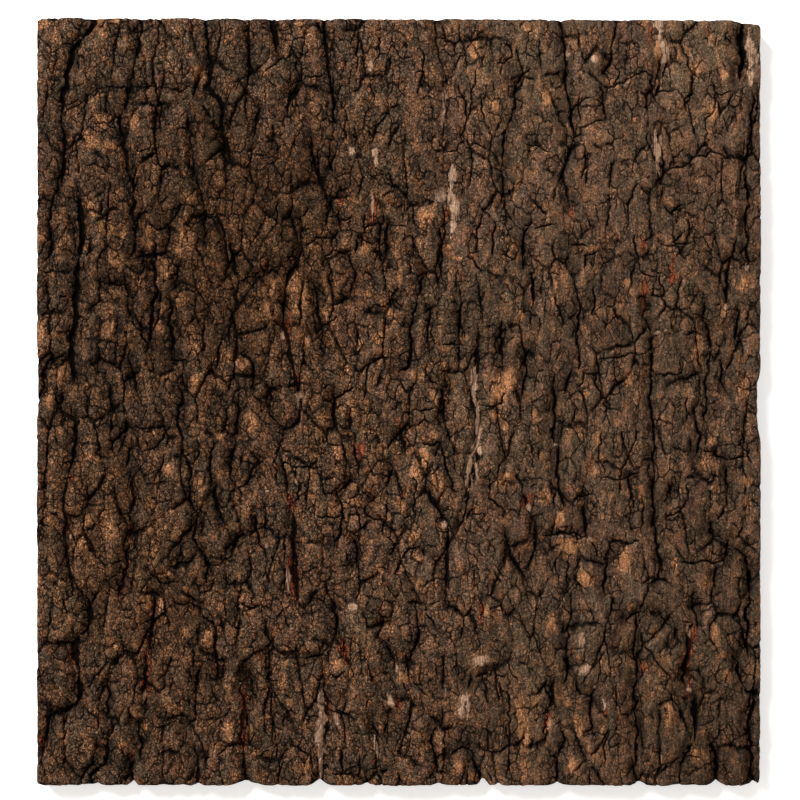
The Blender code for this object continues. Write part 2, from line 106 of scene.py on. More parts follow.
# --------------------------------------------------------------------------------------------
# The furrows: the trunk outgrows its dead crust, which splits along the grain. Each is listed
# as width, depth and the route of its bottom line. Wide ones reach the red-brown
# living cork; thin ones are cracks through the crust only.
# --------------------------------------------------------------------------------------------
FURROWS = (
    # Left third, from the top down
    (7, 10, (-226, 296), (-232, 284), (-247, 266), (-251, 245), (-255, 217)),
    (5, 8, (-255, 217), (-252, 195), (-253, 175), (-262, 152), (-263, 125), (-264, 104)),
    (3, 5, (-255, 216), (-244, 223), (-226, 237), (-205, 237), (-190, 238), (-160, 237)),
    (5, 8, (-195, 296), (-196, 270), (-203, 240), (-212, 215), (-205, 180), (-200, 148), (-199, 122),
     (-201, 108)),
    (3, 6, (-182, 296), (-181, 270), (-186, 252), (-180, 225), (-180, 203)),
    (6, 10, (-145, 296), (-146, 268), (-141, 255), (-146, 238), (-133, 224), (-133, 200), (-126, 183)),
    (3, 7, (-157, 208), (-155, 180), (-149, 158), (-147, 146)),
    (4, 9, (-146, 144), (-148, 135), (-148, 121)),
    (8, 11, (-243, 155), (-239, 132), (-241, 112), (-243, 90), (-245, 72), (-247, 52), (-248, 38),
     (-246, 16)),
    (3, 6, (-192, 137), (-187, 133), (-181, 130), (-172, 136), (-167, 143), (-166, 152)),
    (5, 8, (-201, 108), (-195, 110), (-188, 110), (-176, 113), (-174, 120), (-174, 132)),
    (4, 8, (-176, 112), (-171, 106), (-166, 101), (-168, 92), (-169, 87)),
    (3, 7, (-228, 91), (-221, 89), (-214, 88), (-208, 89), (-205, 78), (-204, 62)),
    (5, 9, (-186, 110), (-184, 95), (-183, 86), (-186, 68), (-187, 55), (-188, 42)),
    (4, 8, (-173, 80), (-171, 70), (-175, 58), (-171, 55), (-170, 45), (-171, 32)),
    (2.5, 6, (-212, 62), (-212, 48), (-215, 30)), (3.5, 9, (-204, 37), (-202, 26), (-200, 16), (-197, 4)),
    (3.5, 8, (-222, 18), (-218, 9), (-217, -4), (-218, -24)), (3, 8, (-225, 36), (-228, 28), (-227, 19)),
    (4.5, 9, (-254, 35), (-265, 31), (-269, 22), (-270, 8), (-275, -4)),
    (5, 10, (-255, 6), (-256, -6), (-253, -15)),
    (6, 10, (-248, -10), (-243, -16), (-244, -28), (-247, -46), (-250, -56)),
    (5, 7, (-250, -56), (-253, -72), (-251, -90), (-250, -120), (-247, -146)),
    (3, 7, (-252, -84), (-246, -87), (-242, -87), (-236, -79), (-235, -63)),
    (5, 9, (-217, -38), (-216, -31), (-211, -26), (-204, -20)),
    (3, 5, (-204, -20), (-193, -21), (-186, -20), (-171, -19)),
    (5.5, 10, (-202, -34), (-204, -42), (-207, -50)),
    (5, 10, (-204, -53), (-202, -62), (-200, -78), (-203, -86)),
    (3, 8, (-203, -86), (-203, -98), (-204, -108)),
    (5, 10, (-204, -108), (-206, -116), (-205, -126), (-211, -144)),
    (2.5, 7, (-196, -38), (-190, -37), (-181, -31), (-178, -25), (-171, -20)),
    (4.5, 9, (-163, 10), (-166, -4), (-167, -18), (-163, -28), (-163, -42)),
    (4, 8, (-167, -42), (-160, -43), (-157, -52), (-157, -66), (-158, -76), (-152, -84)),
    (4, 9, (-152, -84), (-153, -90), (-156, -104), (-151, -112), (-146, -118), (-145, -130), (-150, -140)),
    (3, 7, (-189, -127), (-185, -132), (-180, -137), (-166, -136)),
    (2.5, 6, (-168, -128), (-166, -118), (-163, -107)), (5, 9, (-151, -36), (-152, -42), (-155, -47)),
    (8, 11, (-237, -146), (-234, -154), (-233, -164), (-235, -173)),
    (7, 8, (-235, -173), (-246, -184), (-245, -194), (-242, -205)),
    (8, 12, (-242, -205), (-241, -215), (-242, -226), (-248, -231), (-256, -235)),
    (4, 8, (-256, -235), (-262, -237), (-266, -240), (-266, -250), (-266, -257), (-269, -263)),
    (2.5, 7, (-270, -226), (-266, -230), (-264, -235)),
    (3.5, 9, (-220, -211), (-219, -219), (-221, -228), (-221, -237)),
    (3, 8, (-218, -240), (-216, -247), (-219, -254)),
    (5, 10, (-221, -255), (-220, -265), (-222, -274), (-230, -280), (-233, -286), (-229, -296)),
    (5, 9, (-184, -146), (-185, -158), (-187, -172), (-187, -190)),
    (5, 7, (-191, -192), (-190, -202), (-193, -218), (-192, -236)), (5, 11, (-201, -243), (-193, -241)),
    (4, 10, (-197, -242), (-197, -252), (-194, -262), (-195, -267)),
    (5, 9, (-205, -266), (-202, -276), (-201, -296)), (4, 9, (-150, -200), (-152, -212), (-153, -222)),
    (3, 8, (-153, -222), (-154, -234), (-155, -241), (-161, -248), (-161, -257)),
    (5, 8, (-155, -260), (-152, -270), (-151, -296)),
    (3, 7, (-171, -151), (-163, -154), (-158, -152), (-150, -156), (-147, -164)),
    (4.5, 10, (-147, -164), (-140, -168), (-139, -182), (-138, -194), (-137, -210)),
    # Middle third
    (4, 8, (-112, 296), (-114, 275), (-113, 260), (-108, 245)), (7, 9, (-97, 296), (-94, 280), (-91, 262)),
    (3, 6, (-77, 262), (-77, 250), (-74, 243)), (6, 10, (-74, 243), (-80, 231), (-84, 216)),
    (5, 9, (-57, 296), (-56, 275), (-53, 250), (-51, 238), (-47, 209)),
    (6, 10, (-66, 201), (-65, 185), (-60, 170), (-55, 157)), (3.5, 8, (-52, 196), (-52, 180), (-50, 170)),
    (5, 9, (-55, 157), (-52, 150), (-50, 141)), (3.5, 7, (-53, 153), (-46, 156), (-39, 162)),
    (6, 10, (-46, 141), (-45, 132)), (4, 7, (-45, 132), (-49, 124), (-51, 117)),
    (7, 8, (-106, 224), (-108, 210), (-110, 200)), (4, 8, (-137, 140), (-133, 130), (-130, 122)),
    (5.5, 10, (-130, 122), (-127, 114), (-124, 103), (-121, 91)),
    (4, 6, (-121, 91), (-124, 78), (-125, 66), (-128, 52), (-128, 44)),
    (4, 8, (-132, 53), (-134, 44), (-136, 34), (-139, 24)),
    (2.5, 7, (-121, 91), (-115, 94), (-107, 93), (-101, 96), (-96, 100), (-89, 94)),
    (4, 9, (-121, 37), (-113, 32), (-110, 27), (-110, 18), (-111, 8)),
    (3, 7, (-111, 8), (-108, 3), (-103, -1), (-104, -7)),
    (3, 8, (-79, 140), (-75, 138), (-73, 133), (-74, 128), (-72, 122)),
    (8, 9, (-73, 118), (-76, 106), (-83, 95), (-86, 86)), (8, 10, (-86, 86), (-87, 74), (-87, 62)),
    (7, 6, (-87, 62), (-85, 50), (-82, 40), (-81, 30), (-78, 16), (-76, 4)),
    (4, 9, (-65, 89), (-62, 82), (-62, 66), (-58, 56), (-58, 32)),
    (3, 8, (-38, 111), (-35, 101), (-33, 92), (-38, 78)), (5, 9, (-8, 135), (-10, 120), (-12, 104)),
    (4, 9, (-97, 8), (-98, -4), (-96, -12), (-91, -17)),
    (3, 8, (-91, -17), (-87, -21), (-82, -20), (-77, -17), (-75, -12), (-76, -5)),
    (5, 10, (-50, 6), (-49, -8), (-49, -19)), (6, 10, (-36, -12), (-36, -22)),
    (4, 7, (-34, -24), (-33, -36), (-30, -48), (-30, -56)), (8, 8, (-122, -1), (-122, -14), (-124, -28)),
    (5, 7, (-124, -28), (-126, -44), (-128, -57), (-122, -66)),
    (4, 9, (-122, -66), (-116, -63), (-112, -57), (-110, -50), (-106, -46)),
    (4, 9, (-32, -59), (-37, -60), (-43, -66), (-48, -69)),
    (4, 9, (-47, -70), (-43, -79), (-42, -88), (-43, -98), (-46, -104), (-49, -111)),
    (5, 10, (-4, -50), (-7, -58), (-10, -64)), (2, 7, (-10, -64), (-15, -70), (-20, -75), (-25, -82)),
    (3.5, 9, (-35, -103), (-32, -108), (-31, -116), (-36, -125)),
    (4, 9, (-108, -86), (-108, -98), (-106, -108)), (3, 7, (-106, -108), (-101, -112), (-99, -119)),
    (6, 10, (-138, -63), (-140, -72), (-136, -83), (-132, -92)),
    (7, 9, (-121, -101), (-124, -108), (-126, -116)), (3, 7, (-126, -116), (-134, -121), (-141, -124)),
    (8, 5, (-80, -84), (-80, -105), (-79, -125), (-78, -152)),
    (2, 6, (-66, -148), (-57, -151), (-51, -154)),
    (4.5, 9, (-51, -154), (-48, -162), (-48, -172), (-45, -179)),
    (3, 8, (-74, -193), (-65, -193), (-59, -192), (-51, -186)),
    (8, 6, (-56, -210), (-56, -224), (-55, -240), (-58, -258)),
    (5, 7, (-58, -258), (-57, -270), (-58, -280), (-60, -296)),
    (4, 9, (-113, -202), (-111, -212), (-109, -223)),
    (6, 6, (-119, -215), (-117, -232), (-119, -248), (-118, -266)),
    (5, 9, (-118, -266), (-116, -280), (-116, -296)),
    (3, 8, (-12, -163), (-13, -170), (-16, -178), (-10, -181)),
    (4, 9, (-10, -181), (-7, -188), (-3, -196), (-3, -206)), (4, 9, (-8, -235), (-9, -245), (-12, -252)),
    (4, 9, (-20, -240), (-18, -247), (-15, -254)),
    # Right third
    (2, 6, (27, 296), (28, 272), (30, 260), (35, 245), (35, 222), (33, 198)),
    (3, 8, (88, 241), (88, 225), (85, 213), (79, 203), (79, 192), (77, 175), (79, 156), (80, 146)),
    (2, 7, (80, 146), (85, 138), (89, 132), (95, 128)),
    (4.5, 9, (119, 296), (124, 275), (126, 258), (126, 236), (130, 216), (133, 199)),
    (3, 8, (133, 199), (128, 185), (123, 170), (127, 156), (129, 146)),
    (3, 8, (166, 296), (163, 275), (161, 258), (153, 247)), (3, 7, (152, 238), (154, 225), (156, 213)),
    (7, 9, (204, 258), (199, 240), (192, 230)), (3, 7, (196, 204), (199, 188), (200, 172), (198, 150)),
    (9, 11, (260, 290), (260, 265), (258, 243)),
    (4, 9, (268, 232), (267, 212), (263, 185), (262, 165), (262, 140), (264, 120), (263, 102)),
    (4, 9, (31, 131), (33, 120), (32, 104), (30, 90)), (5, 11, (19, 96), (17, 87), (14, 77)),
    (3.5, 9, (14, 77), (10, 66), (9, 50), (10, 34), (6, 25), (0, 22)),
    (3, 8, (20, 73), (24, 63), (22, 52), (22, 40)), (2.5, 7, (47, 90), (47, 76), (46, 69)),
    (4.5, 10, (46, 69), (46, 58), (50, 51)),
    (6, 4, (60, 54), (59, 40), (59, 28), (56, 12), (57, -8), (58, -27)),
    (3, 6, (58, -27), (56, -46), (53, -65), (51, -80)), (3.5, 8, (51, -80), (49, -90), (43, -101)),
    (4, 9, (98, 134), (95, 126), (94, 112), (95, 101)), (5, 10, (99, 98), (102, 88), (102, 76), (100, 70)),
    (4, 9, (77, 54), (78, 44), (79, 34), (78, 26)), (3.5, 9, (99, 39), (96, 28), (95, 16), (94, 4)),
    (3, 7, (137, 73), (135, 64), (134, 52), (136, 38), (136, 25)), (5, 8, (130, 25), (128, 16), (126, 6)),
    (2.5, 6, (37, 20), (38, 10), (35, 1)), (6, 10, (35, 1), (34, -8), (34, -16)),
    (2.5, 7, (34, -16), (38, -24), (35, -30)),
    (3, 8, (32, -31), (33, -40), (36, -51), (39, -58), (43, -68)), (8, 7, (2, -22), (4, -32), (4, -42)),
    (4, 9, (24, -68), (25, -76), (29, -81), (33, -90)),
    (6, 6, (37, -95), (37, -112), (36, -126), (35, -150)), (3, 7, (80, -97), (82, -105)),
    (4.5, 10, (82, -105), (84, -115), (90, -125), (96, -136)),
    (4.5, 10, (103, -89), (104, -100), (103, -110), (100, -119), (96, -127)),
    (3, 8, (91, -50), (91, -60), (93, -69)), (6, 6, (93, -69), (96, -75), (99, -84)),
    (2.5, 7, (84, -41), (77, -47), (75, -56), (69, -63), (68, -72)),
    (3, 7, (68, -73), (75, -79), (81, -85)), (5, 9, (118, 8), (117, -4), (118, -18), (117, -32)),
    (4, 8, (121, -33), (120, -48), (120, -62), (123, -73), (126, -79)),
    (2.5, 7, (109, -101), (116, -101), (121, -99), (128, -100), (141, -102)),
    (4.5, 10, (141, -74), (140, -84), (141, -97), (143, -103)),
    (3.5, 8, (143, -103), (148, -109), (150, -118)), (3, 7, (187, 76), (184, 64), (188, 57), (191, 50)),
    (3.5, 9, (191, 50), (191, 34), (191, 12), (191, -12), (193, -30), (192, -50)),
    (3.5, 9, (192, -50), (192, -72), (193, -88), (194, -106), (197, -118), (199, -130)),
    (2.5, 8, (231, 75), (231, 64), (233, 58)), (6, 11, (233, 58), (235, 48), (236, 40)),
    (3.5, 8, (236, 40), (234, 30), (235, 22), (232, 16)),
    (4, 10, (232, 17), (232, 8), (233, 0), (231, -14)), (6, 10, (256, 70), (256, 58), (255, 46)),
    (4.5, 10, (251, 107), (248, 97), (249, 86), (248, 74)),
    (2.5, 8, (243, 31), (244, 22), (243, 15), (249, 6)),
    (4, 10, (223, -5), (225, -18), (228, -28), (225, -40)),
    (2.5, 7, (231, -37), (238, -38), (244, -42), (250, -44)), (5, 10, (248, -50), (247, -58), (249, -64)),
    (4, 9, (173, -56), (175, -66), (177, -80)), (2, 6, (177, -80), (173, -90), (178, -99)),
    (3, 8, (207, -62), (203, -69), (201, -75)), (5, 10, (237, -91), (235, -97), (238, -103)),
    (5, 10, (249, -105), (248, -113), (246, -120)), (2.5, 7, (249, -109), (256, -112), (263, -117)),
    (6, 11, (263, -117), (265, -130), (265, -145)),
    (4, 9, (265, -145), (262, -165), (263, -180), (264, -194)),
    (5, 9, (158, -119), (156, -130), (155, -144)), (3.5, 8, (238, -123), (239, -132), (239, -142)),
    (3, 8, (13, -146), (14, -160), (14, -170)), (5, 9, (14, -170), (15, -178), (11, -188), (9, -196)),
    (3, 9, (130, -146), (128, -170), (127, -190), (125, -213)),
    (8, 7, (117, -209), (116, -220), (113, -236)),
    (3.5, 9, (124, -249), (126, -256), (123, -262), (120, -272), (121, -296)),
    (4.5, 10, (29, -246), (25, -252), (24, -258), (28, -270), (29, -280)),
    (3.5, 9, (39, -268), (43, -264), (49, -261), (54, -264)),
    (5, 10, (54, -264), (57, -273), (62, -282), (64, -296)), (4.5, 9, (53, -215), (54, -207)),
    (3.5, 8, (59, -208), (65, -206), (70, -206)),
    (3.5, 9, (148, -217), (145, -228), (145, -237), (146, -248)),
    (2.5, 6, (134, -212), (137, -220), (145, -225)), (4, 9, (183, -159), (176, -161), (172, -166)),
    (3.5, 8, (180, -161), (179, -178), (177, -188), (180, -204)),
    (3.5, 9, (180, -204), (178, -220), (178, -235), (179, -258), (179, -274), (183, -296)),
    (3.5, 8, (194, -160), (200, -164), (207, -171)), (4, 9, (209, -171), (206, -182)),
    (4.5, 10, (222, -152), (224, -160), (226, -170)),
    (9, 8, (222, -168), (219, -186), (216, -200), (216, -214)),
    (9, 10, (224, -222), (224, -238), (224, -257)),
    (4, 10, (221, -260), (216, -269), (213, -276), (212, -296)),
    (5, 10, (234, -256), (238, -264), (241, -276), (241, -296)),
    (5, 10, (252, -193), (256, -203), (260, -214)), (2.5, 7, (260, -214), (264, -220), (270, -218)),
    (5, 11, (268, -220), (266, -240), (266, -262), (266, -280), (271, -296)),
)
CRACKS = (
    (1.4, 4, (-176, 258), (-170, 250)), (1.6, 4, (-190, 200), (-186, 193), (-198, 189)),
    (1.4, 4, (-236, 178), (-228, 179), (-222, 176), (-218, 172)),
    (1.6, 4, (-230, 210), (-220, 209), (-214, 207)), (2, 5, (-119, 243), (-123, 235)),
    (1.5, 4, (-90, 281), (-82, 282), (-81, 290)), (1.6, 5, (-80, 264), (-85, 258), (-100, 250)),
    (1.6, 5, (-74, 243), (-66, 244), (-58, 246)), (2, 6, (-43, 240), (-46, 232)),
    (1.6, 5, (-40, 292), (-40, 280), (-33, 280), (-28, 284)), (1.6, 5, (-30, 280), (-31, 265), (-32, 250)),
    (1.8, 5, (-15, 275), (-15, 260), (-19, 255)), (1.6, 5, (-6, 262), (-9, 252), (-13, 242)),
    (2, 5, (-21, 240), (-18, 228)), (2, 5, (-22, 205), (-20, 195)), (2.4, 6, (-40, 208), (-39, 197)),
    (1.6, 4, (-101, 240), (-101, 228)), (2, 5, (-98, 220), (-92, 214)), (2, 5, (-118, 170), (-112, 165)),
    (2, 5, (-108, 187), (-100, 186)), (1.5, 4, (-90, 158), (-80, 158)),
    (1.6, 5, (31, 195), (36, 189), (44, 189), (49, 196), (47, 201)),
    (1.6, 4, (42, 251), (45, 259), (50, 261)), (1.6, 4, (58, 250), (58, 240), (54, 233)),
    (1.6, 4, (62, 230), (62, 220), (65, 212)), (1.5, 4, (63, 262), (63, 252)),
    (2, 6, (80, 270), (85, 266), (86, 260), (80, 255), (75, 256)), (3, 7, (78, 252), (77, 247)),
    (2, 6, (99, 250), (92, 246), (89, 238)),
    (1.5, 4, (52, 197), (60, 194), (68, 190), (74, 184), (76, 178)),
    (1.5, 4, (95, 195), (103, 194), (115, 188)), (2, 5, (130, 218), (136, 225), (145, 229)),
    (2, 5, (134, 200), (138, 206)), (2, 6, (141, 192), (141, 180), (138, 168)),
    (1.6, 5, (163, 255), (166, 245), (162, 239)),
    (1.6, 5, (158, 237), (166, 240), (172, 243), (182, 247), (192, 243)),
    (1.5, 4, (137, 206), (144, 209), (155, 212)), (3, 7, (192, 245), (192, 232)),
    (2, 6, (195, 235), (204, 234)),
    (1.6, 5, (201, 174), (208, 176), (216, 178), (222, 184), (232, 184), (235, 190), (231, 200),
     (231, 212), (239, 221)),
    (1.5, 4, (235, 190), (245, 186), (253, 180)), (1.6, 5, (237, 240), (239, 230), (238, 222)),
    (1.6, 5, (241, 232), (250, 234)), (2.2, 7, (-233, 121), (-232, 114), (-236, 110)),
    (1.5, 4, (-228, 136), (-222, 138), (-216, 138)), (2, 6, (-224, 150), (-224, 140)),
    (1.5, 4, (-173, 83), (-167, 88), (-162, 90), (-157, 88), (-151, 82), (-147, 76), (-140, 63)),
    (1.6, 5, (-204, 62), (-200, 60), (-198, 55), (-189, 55)), (2, 6, (-194, 54), (-191, 45), (-191, 38)),
    (1.6, 5, (-172, 31), (-162, 31), (-158, 30)), (2, 6, (-236, 18), (-235, 8)),
    (1.6, 5, (-143, 138), (-136, 139), (-133, 133)), (2.6, 7, (-91, 140), (-92, 134)),
    (1.4, 4, (-90, 150), (-91, 140)), (1.6, 5, (-75, 139), (-71, 141), (-68, 146)),
    (1.6, 5, (-72, 118), (-66, 120), (-62, 124), (-55, 124), (-50, 124)), (1.6, 5, (-43, 137), (-35, 139)),
    (2.6, 7, (-50, 113), (-55, 110), (-57, 105), (-56, 101)), (2.6, 7, (-52, 97), (-52, 90), (-50, 84)),
    (1.6, 5, (-64, 88), (-60, 84), (-56, 80)), (2, 6, (-58, 57), (-54, 58), (-50, 61), (-47, 64)),
    (1.8, 5, (-52, 72), (-47, 73), (-42, 76), (-38, 78)), (2.6, 7, (-32, 125), (-28, 123), (-19, 118)),
    (2.2, 6, (-32, 122), (-32, 112)), (2.4, 7, (-27, 132), (-23, 133), (-17, 134)),
    (1.8, 5, (-17, 134), (-14, 130), (-15, 122), (-16, 112)), (1.6, 5, (-8, 133), (0, 133), (6, 132)),
    (2, 6, (-25, 98), (-22, 96), (-19, 92)), (2.4, 6, (-35, 40), (-30, 35)),
    (1.6, 5, (-22, 32), (-24, 20), (-25, 10), (-27, 0)), (2.4, 7, (-48, 2), (-42, 5), (-37, 8), (-34, 11)),
    (1.8, 5, (-58, 24), (-49, 21), (-46, 20)), (1.6, 4, (-90, -30), (-92, -38), (-95, -48), (-92, -62)),
    (1.8, 5, (-88, -47), (-82, -48), (-70, -49), (-58, -49)), (1.8, 5, (-53, -20), (-51, -33), (-44, -33)),
    (1.5, 4, (-58, -50), (-58, -56), (-55, -59), (-48, -57)), (2, 5, (-62, -86), (-55, -87), (-43, -86)),
    (2, 6, (-38, -87), (-29, -86)), (1.6, 5, (-20, -75), (-25, -70), (-27, -62)),
    (3, 7, (-10, -78), (-10, -86)), (1.8, 5, (-10, -86), (-12, -100)),
    (1.6, 5, (-25, -80), (-24, -86), (-19, -89), (-12, -89)), (2, 6, (-8, -103), (-3, -111), (-7, -116)),
    (1.8, 5, (-4, -113), (0, -107), (3, -102)), (3, 8, (2, -120), (-1, -127), (-2, -132)),
    (2.2, 6, (-40, -113), (-38, -121)), (3, 7, (-78, -52), (-75, -66), (-76, -74)),
    (1.6, 5, (-121, -66), (-118, -78)), (2.6, 7, (-130, -130), (-128, -138)),
    (3, 7, (-31, -133), (-25, -136)), (2, 6, (-42, -180), (-42, -194)),
    (2.4, 7, (-52, -205), (-47, -209), (-41, -204)),
    (2, 6, (-101, -165), (-101, -176), (-94, -186), (-95, -191)), (1.6, 5, (-100, -190), (-100, -205)),
    (1.5, 4, (-90, -193), (-84, -193), (-80, -190)), (1.5, 4, (-88, -183), (-84, -185), (-80, -188)),
    (2.4, 6, (-84, -163), (-83, -171)), (2.4, 7, (-118, -152), (-112, -157), (-106, -154)),
    (1.6, 5, (-12, -163), (-5, -162)), (2, 5, (-17, -256), (-17, -268), (-16, -280)),
    (2.6, 7, (-44, -262), (-43, -270), (-42, -279)),
    (1.8, 6, (-50, -281), (-42, -281), (-36, -281), (-31, -287)),
    (1.4, 4, (-82, -260), (-87, -265), (-90, -272), (-91, -282)),
    (1.4, 4, (-82, -260), (-75, -262), (-66, -268)), (2, 6, (-66, -268), (-62, -286)),
    (2.2, 6, (-24, -290), (-25, -283)), (2.2, 6, (-137, -267), (-130, -261)),
    (1.5, 5, (-184, -246), (-177, -246), (-172, -243)), (2, 6, (-222, -199), (-225, -203), (-229, -207)),
    (1.8, 6, (-235, -216), (-231, -212), (-230, -206)), (1.8, 6, (-238, -230), (-234, -235), (-228, -239)),
    (2.2, 7, (-228, -239), (-227, -247)), (2, 6, (-208, -184), (-203, -190), (-196, -190)),
    (1.8, 6, (-204, -232), (-204, -239), (-198, -241)), (2, 6, (-254, -149), (-252, -156), (-250, -161)),
    (1.5, 4, (10, 150), (11, 142), (11, 136), (15, 131), (20, 128)),
    (2, 6, (72, 136), (72, 118), (71, 110)), (2.4, 7, (52, 109), (56, 108), (58, 103), (63, 97)),
    (2.2, 6, (96, 133), (101, 135)), (1.8, 6, (103, 130), (108, 132), (118, 133)),
    (2.2, 6, (100, 64), (99, 57)), (1.8, 5, (77, 111), (83, 109), (88, 107)),
    (1.8, 6, (139, 23), (139, 14), (135, 11)), (2.4, 7, (130, 118), (136, 118), (142, 117)),
    (3.4, 8, (142, 112), (141, 106), (140, 101)), (2.4, 7, (140, 110), (146, 111), (150, 114)),
    (1.6, 5, (-5, 77), (0, 73), (4, 71)), (1.6, 5, (33, 43), (38, 43), (50, 42)),
    (3, 7, (43, 46), (42, 42)), (2, 6, (22, 28), (21, 20), (24, 15), (29, 13)),
    (1.4, 4, (115, 97), (121, 95)), (1.8, 6, (178, 125), (181, 110), (181, 100)),
    (1.6, 5, (181, 100), (185, 96), (194, 94)), (2, 6, (197, 95), (197, 88), (201, 79)),
    (1.6, 5, (192, 86), (191, 80), (200, 80)), (2.2, 7, (201, 147), (206, 141), (214, 148)),
    (1.8, 6, (216, 142), (224, 140)), (3, 8, (217, 137), (219, 130)), (4, 7, (214, 127), (207, 120)),
    (1.6, 5, (195, 121), (207, 117), (222, 121)), (1.4, 5, (152, 32), (162, 33), (170, 34), (183, 36)),
    (1.6, 5, (194, 19), (203, 21), (211, 21)), (1.6, 5, (213, 31), (214, 25), (211, 20)),
    (1.8, 5, (215, 50), (220, 51), (229, 50)), (3, 7, (147, 86), (146, 65)), (2, 6, (154, 61), (156, 55)),
    (2, 6, (148, 20), (150, 10), (152, 3)), (1.4, 4, (140, 22), (148, 20), (155, 21)),
    (1.6, 5, (188, 78), (183, 80), (180, 78)), (1.4, 5, (10, -7), (20, -6), (27, -5)),
    (1.8, 6, (17, -31), (22, -32), (27, -33), (32, -31)), (2, 6, (10, -58), (14, -62), (13, -67)),
    (1.6, 5, (12, -70), (12, -90)), (1.6, 5, (18, -60), (23, -55), (22, -46)),
    (1.8, 5, (32, -84), (39, -82)), (1.6, 5, (58, -80), (53, -85), (51, -89)),
    (1.6, 6, (63, -3), (70, -4), (77, -2), (80, 6)), (1.6, 5, (100, -65), (104, -63)),
    (2.2, 6, (119, -118), (118, -126), (121, -131)), (2, 6, (128, -119), (127, -128), (128, -138)),
    (2, 6, (134, -5), (133, -12), (134, -18)), (1.6, 5, (106, -36), (106, -46)),
    (1.8, 6, (0, -121), (4, -118), (7, -112), (15, -110)), (5, 7, (72, -128), (77, -136)),
    (1.6, 5, (154, 6), (155, -8)), (1.8, 5, (218, 4), (217, -8)),
    (2, 6, (259, -24), (258, -32), (264, -38), (266, -46)), (1.4, 4, (153, -58), (162, -59), (173, -57)),
    (1.6, 5, (173, -57), (181, -54)), (1.4, 4, (153, -24), (151, -40), (155, -55)),
    (1.6, 5, (218, -62), (218, -70), (213, -82), (201, -88)), (1.4, 4, (200, -88), (208, -89), (217, -88)),
    (1.6, 5, (247, -70), (248, -78)), (2.4, 6, (245, -80), (241, -89)),
    (1.5, 5, (238, -102), (243, -101), (249, -105)),
    (1.6, 5, (246, -120), (240, -122), (228, -120), (212, -121)), (2.4, 6, (261, -63), (261, -69)),
    (1.6, 5, (266, -75), (273, -79)), (2, 6, (252, -92), (256, -96)), (1.4, 4, (210, -121), (207, -129)),
    (1.6, 5, (3, -198), (8, -195)), (1.8, 6, (35, -150), (38, -155), (44, -158), (49, -160)),
    (1.8, 5, (24, -154), (30, -151)), (1.8, 5, (62, -150), (62, -164)),
    (1.4, 4, (87, -163), (95, -169), (100, -182)), (1.5, 5, (84, -195), (85, -204), (90, -212)),
    (1.8, 5, (75, -209), (75, -226)), (1.4, 5, (83, -220), (82, -235), (84, -256), (83, -268)),
    (2.6, 6, (83, -268), (81, -282)), (1.6, 5, (104, -263), (105, -256)), (2, 5, (112, -238), (111, -252)),
    (2, 6, (114, -268), (120, -271)), (2.2, 7, (52, -280), (52, -292)), (2, 6, (67, -280), (71, -288)),
    (1.8, 6, (4, -213), (5, -218)), (2, 6, (11, -212), (17, -218), (22, -222)),
    (1.5, 5, (0, -246), (5, -250), (9, -252)), (1.3, 4, (9, -252), (8, -260), (4, -270)),
    (2, 6, (140, -250), (146, -248)), (2, 6, (184, -203), (183, -210)), (1.8, 5, (255, -180), (260, -187)),
    (1.6, 5, (156, -190), (152, -199), (151, -210)), (1.8, 5, (160, -248), (156, -256), (155, -274)),
    (1.4, 4, (164, -214), (164, -234)), (1.8, 5, (214, -166), (220, -167)),
    (2.4, 6, (24, -288), (24, -283)), (2, 6, (250, -44), (256, -42), (262, -42)),
)

RASTER = 0.75
MARGIN = 6.0
FURROW_REACH = 13.0
CRACK_REACH = 4.0
HALVINGS = 6
LONGEST_RUN = 3.4
GAPE = 0.022
HAIRLINE = 0.12
raster_x = np.arange(-WIDTH / 2 - MARGIN, WIDTH / 2 + MARGIN, RASTER)
raster_y = np.arange(-LENGTH / 2 - MARGIN, LENGTH / 2 + MARGIN, RASTER)


def jag(points, chance, throw):
    """A route broken into short runs, each thrown a little off line, as dry bark splits."""
    line = np.array(points, dtype=float)
    for _ in range(HALVINGS):
        run = np.diff(line, axis=0)
        length = np.hypot(run[:, 0], run[:, 1])
        long = np.nonzero(length > LONGEST_RUN)[0]
        off = chance.normal(0, throw, len(run)) * np.minimum(1, 7 / length)
        aside = off[:, None] * np.column_stack([-run[:, 1], run[:, 0]])
        middle = (line[1:] + line[:-1]) / 2 + aside
        line = np.insert(line, long + 1, middle[long], axis=0)
    return line


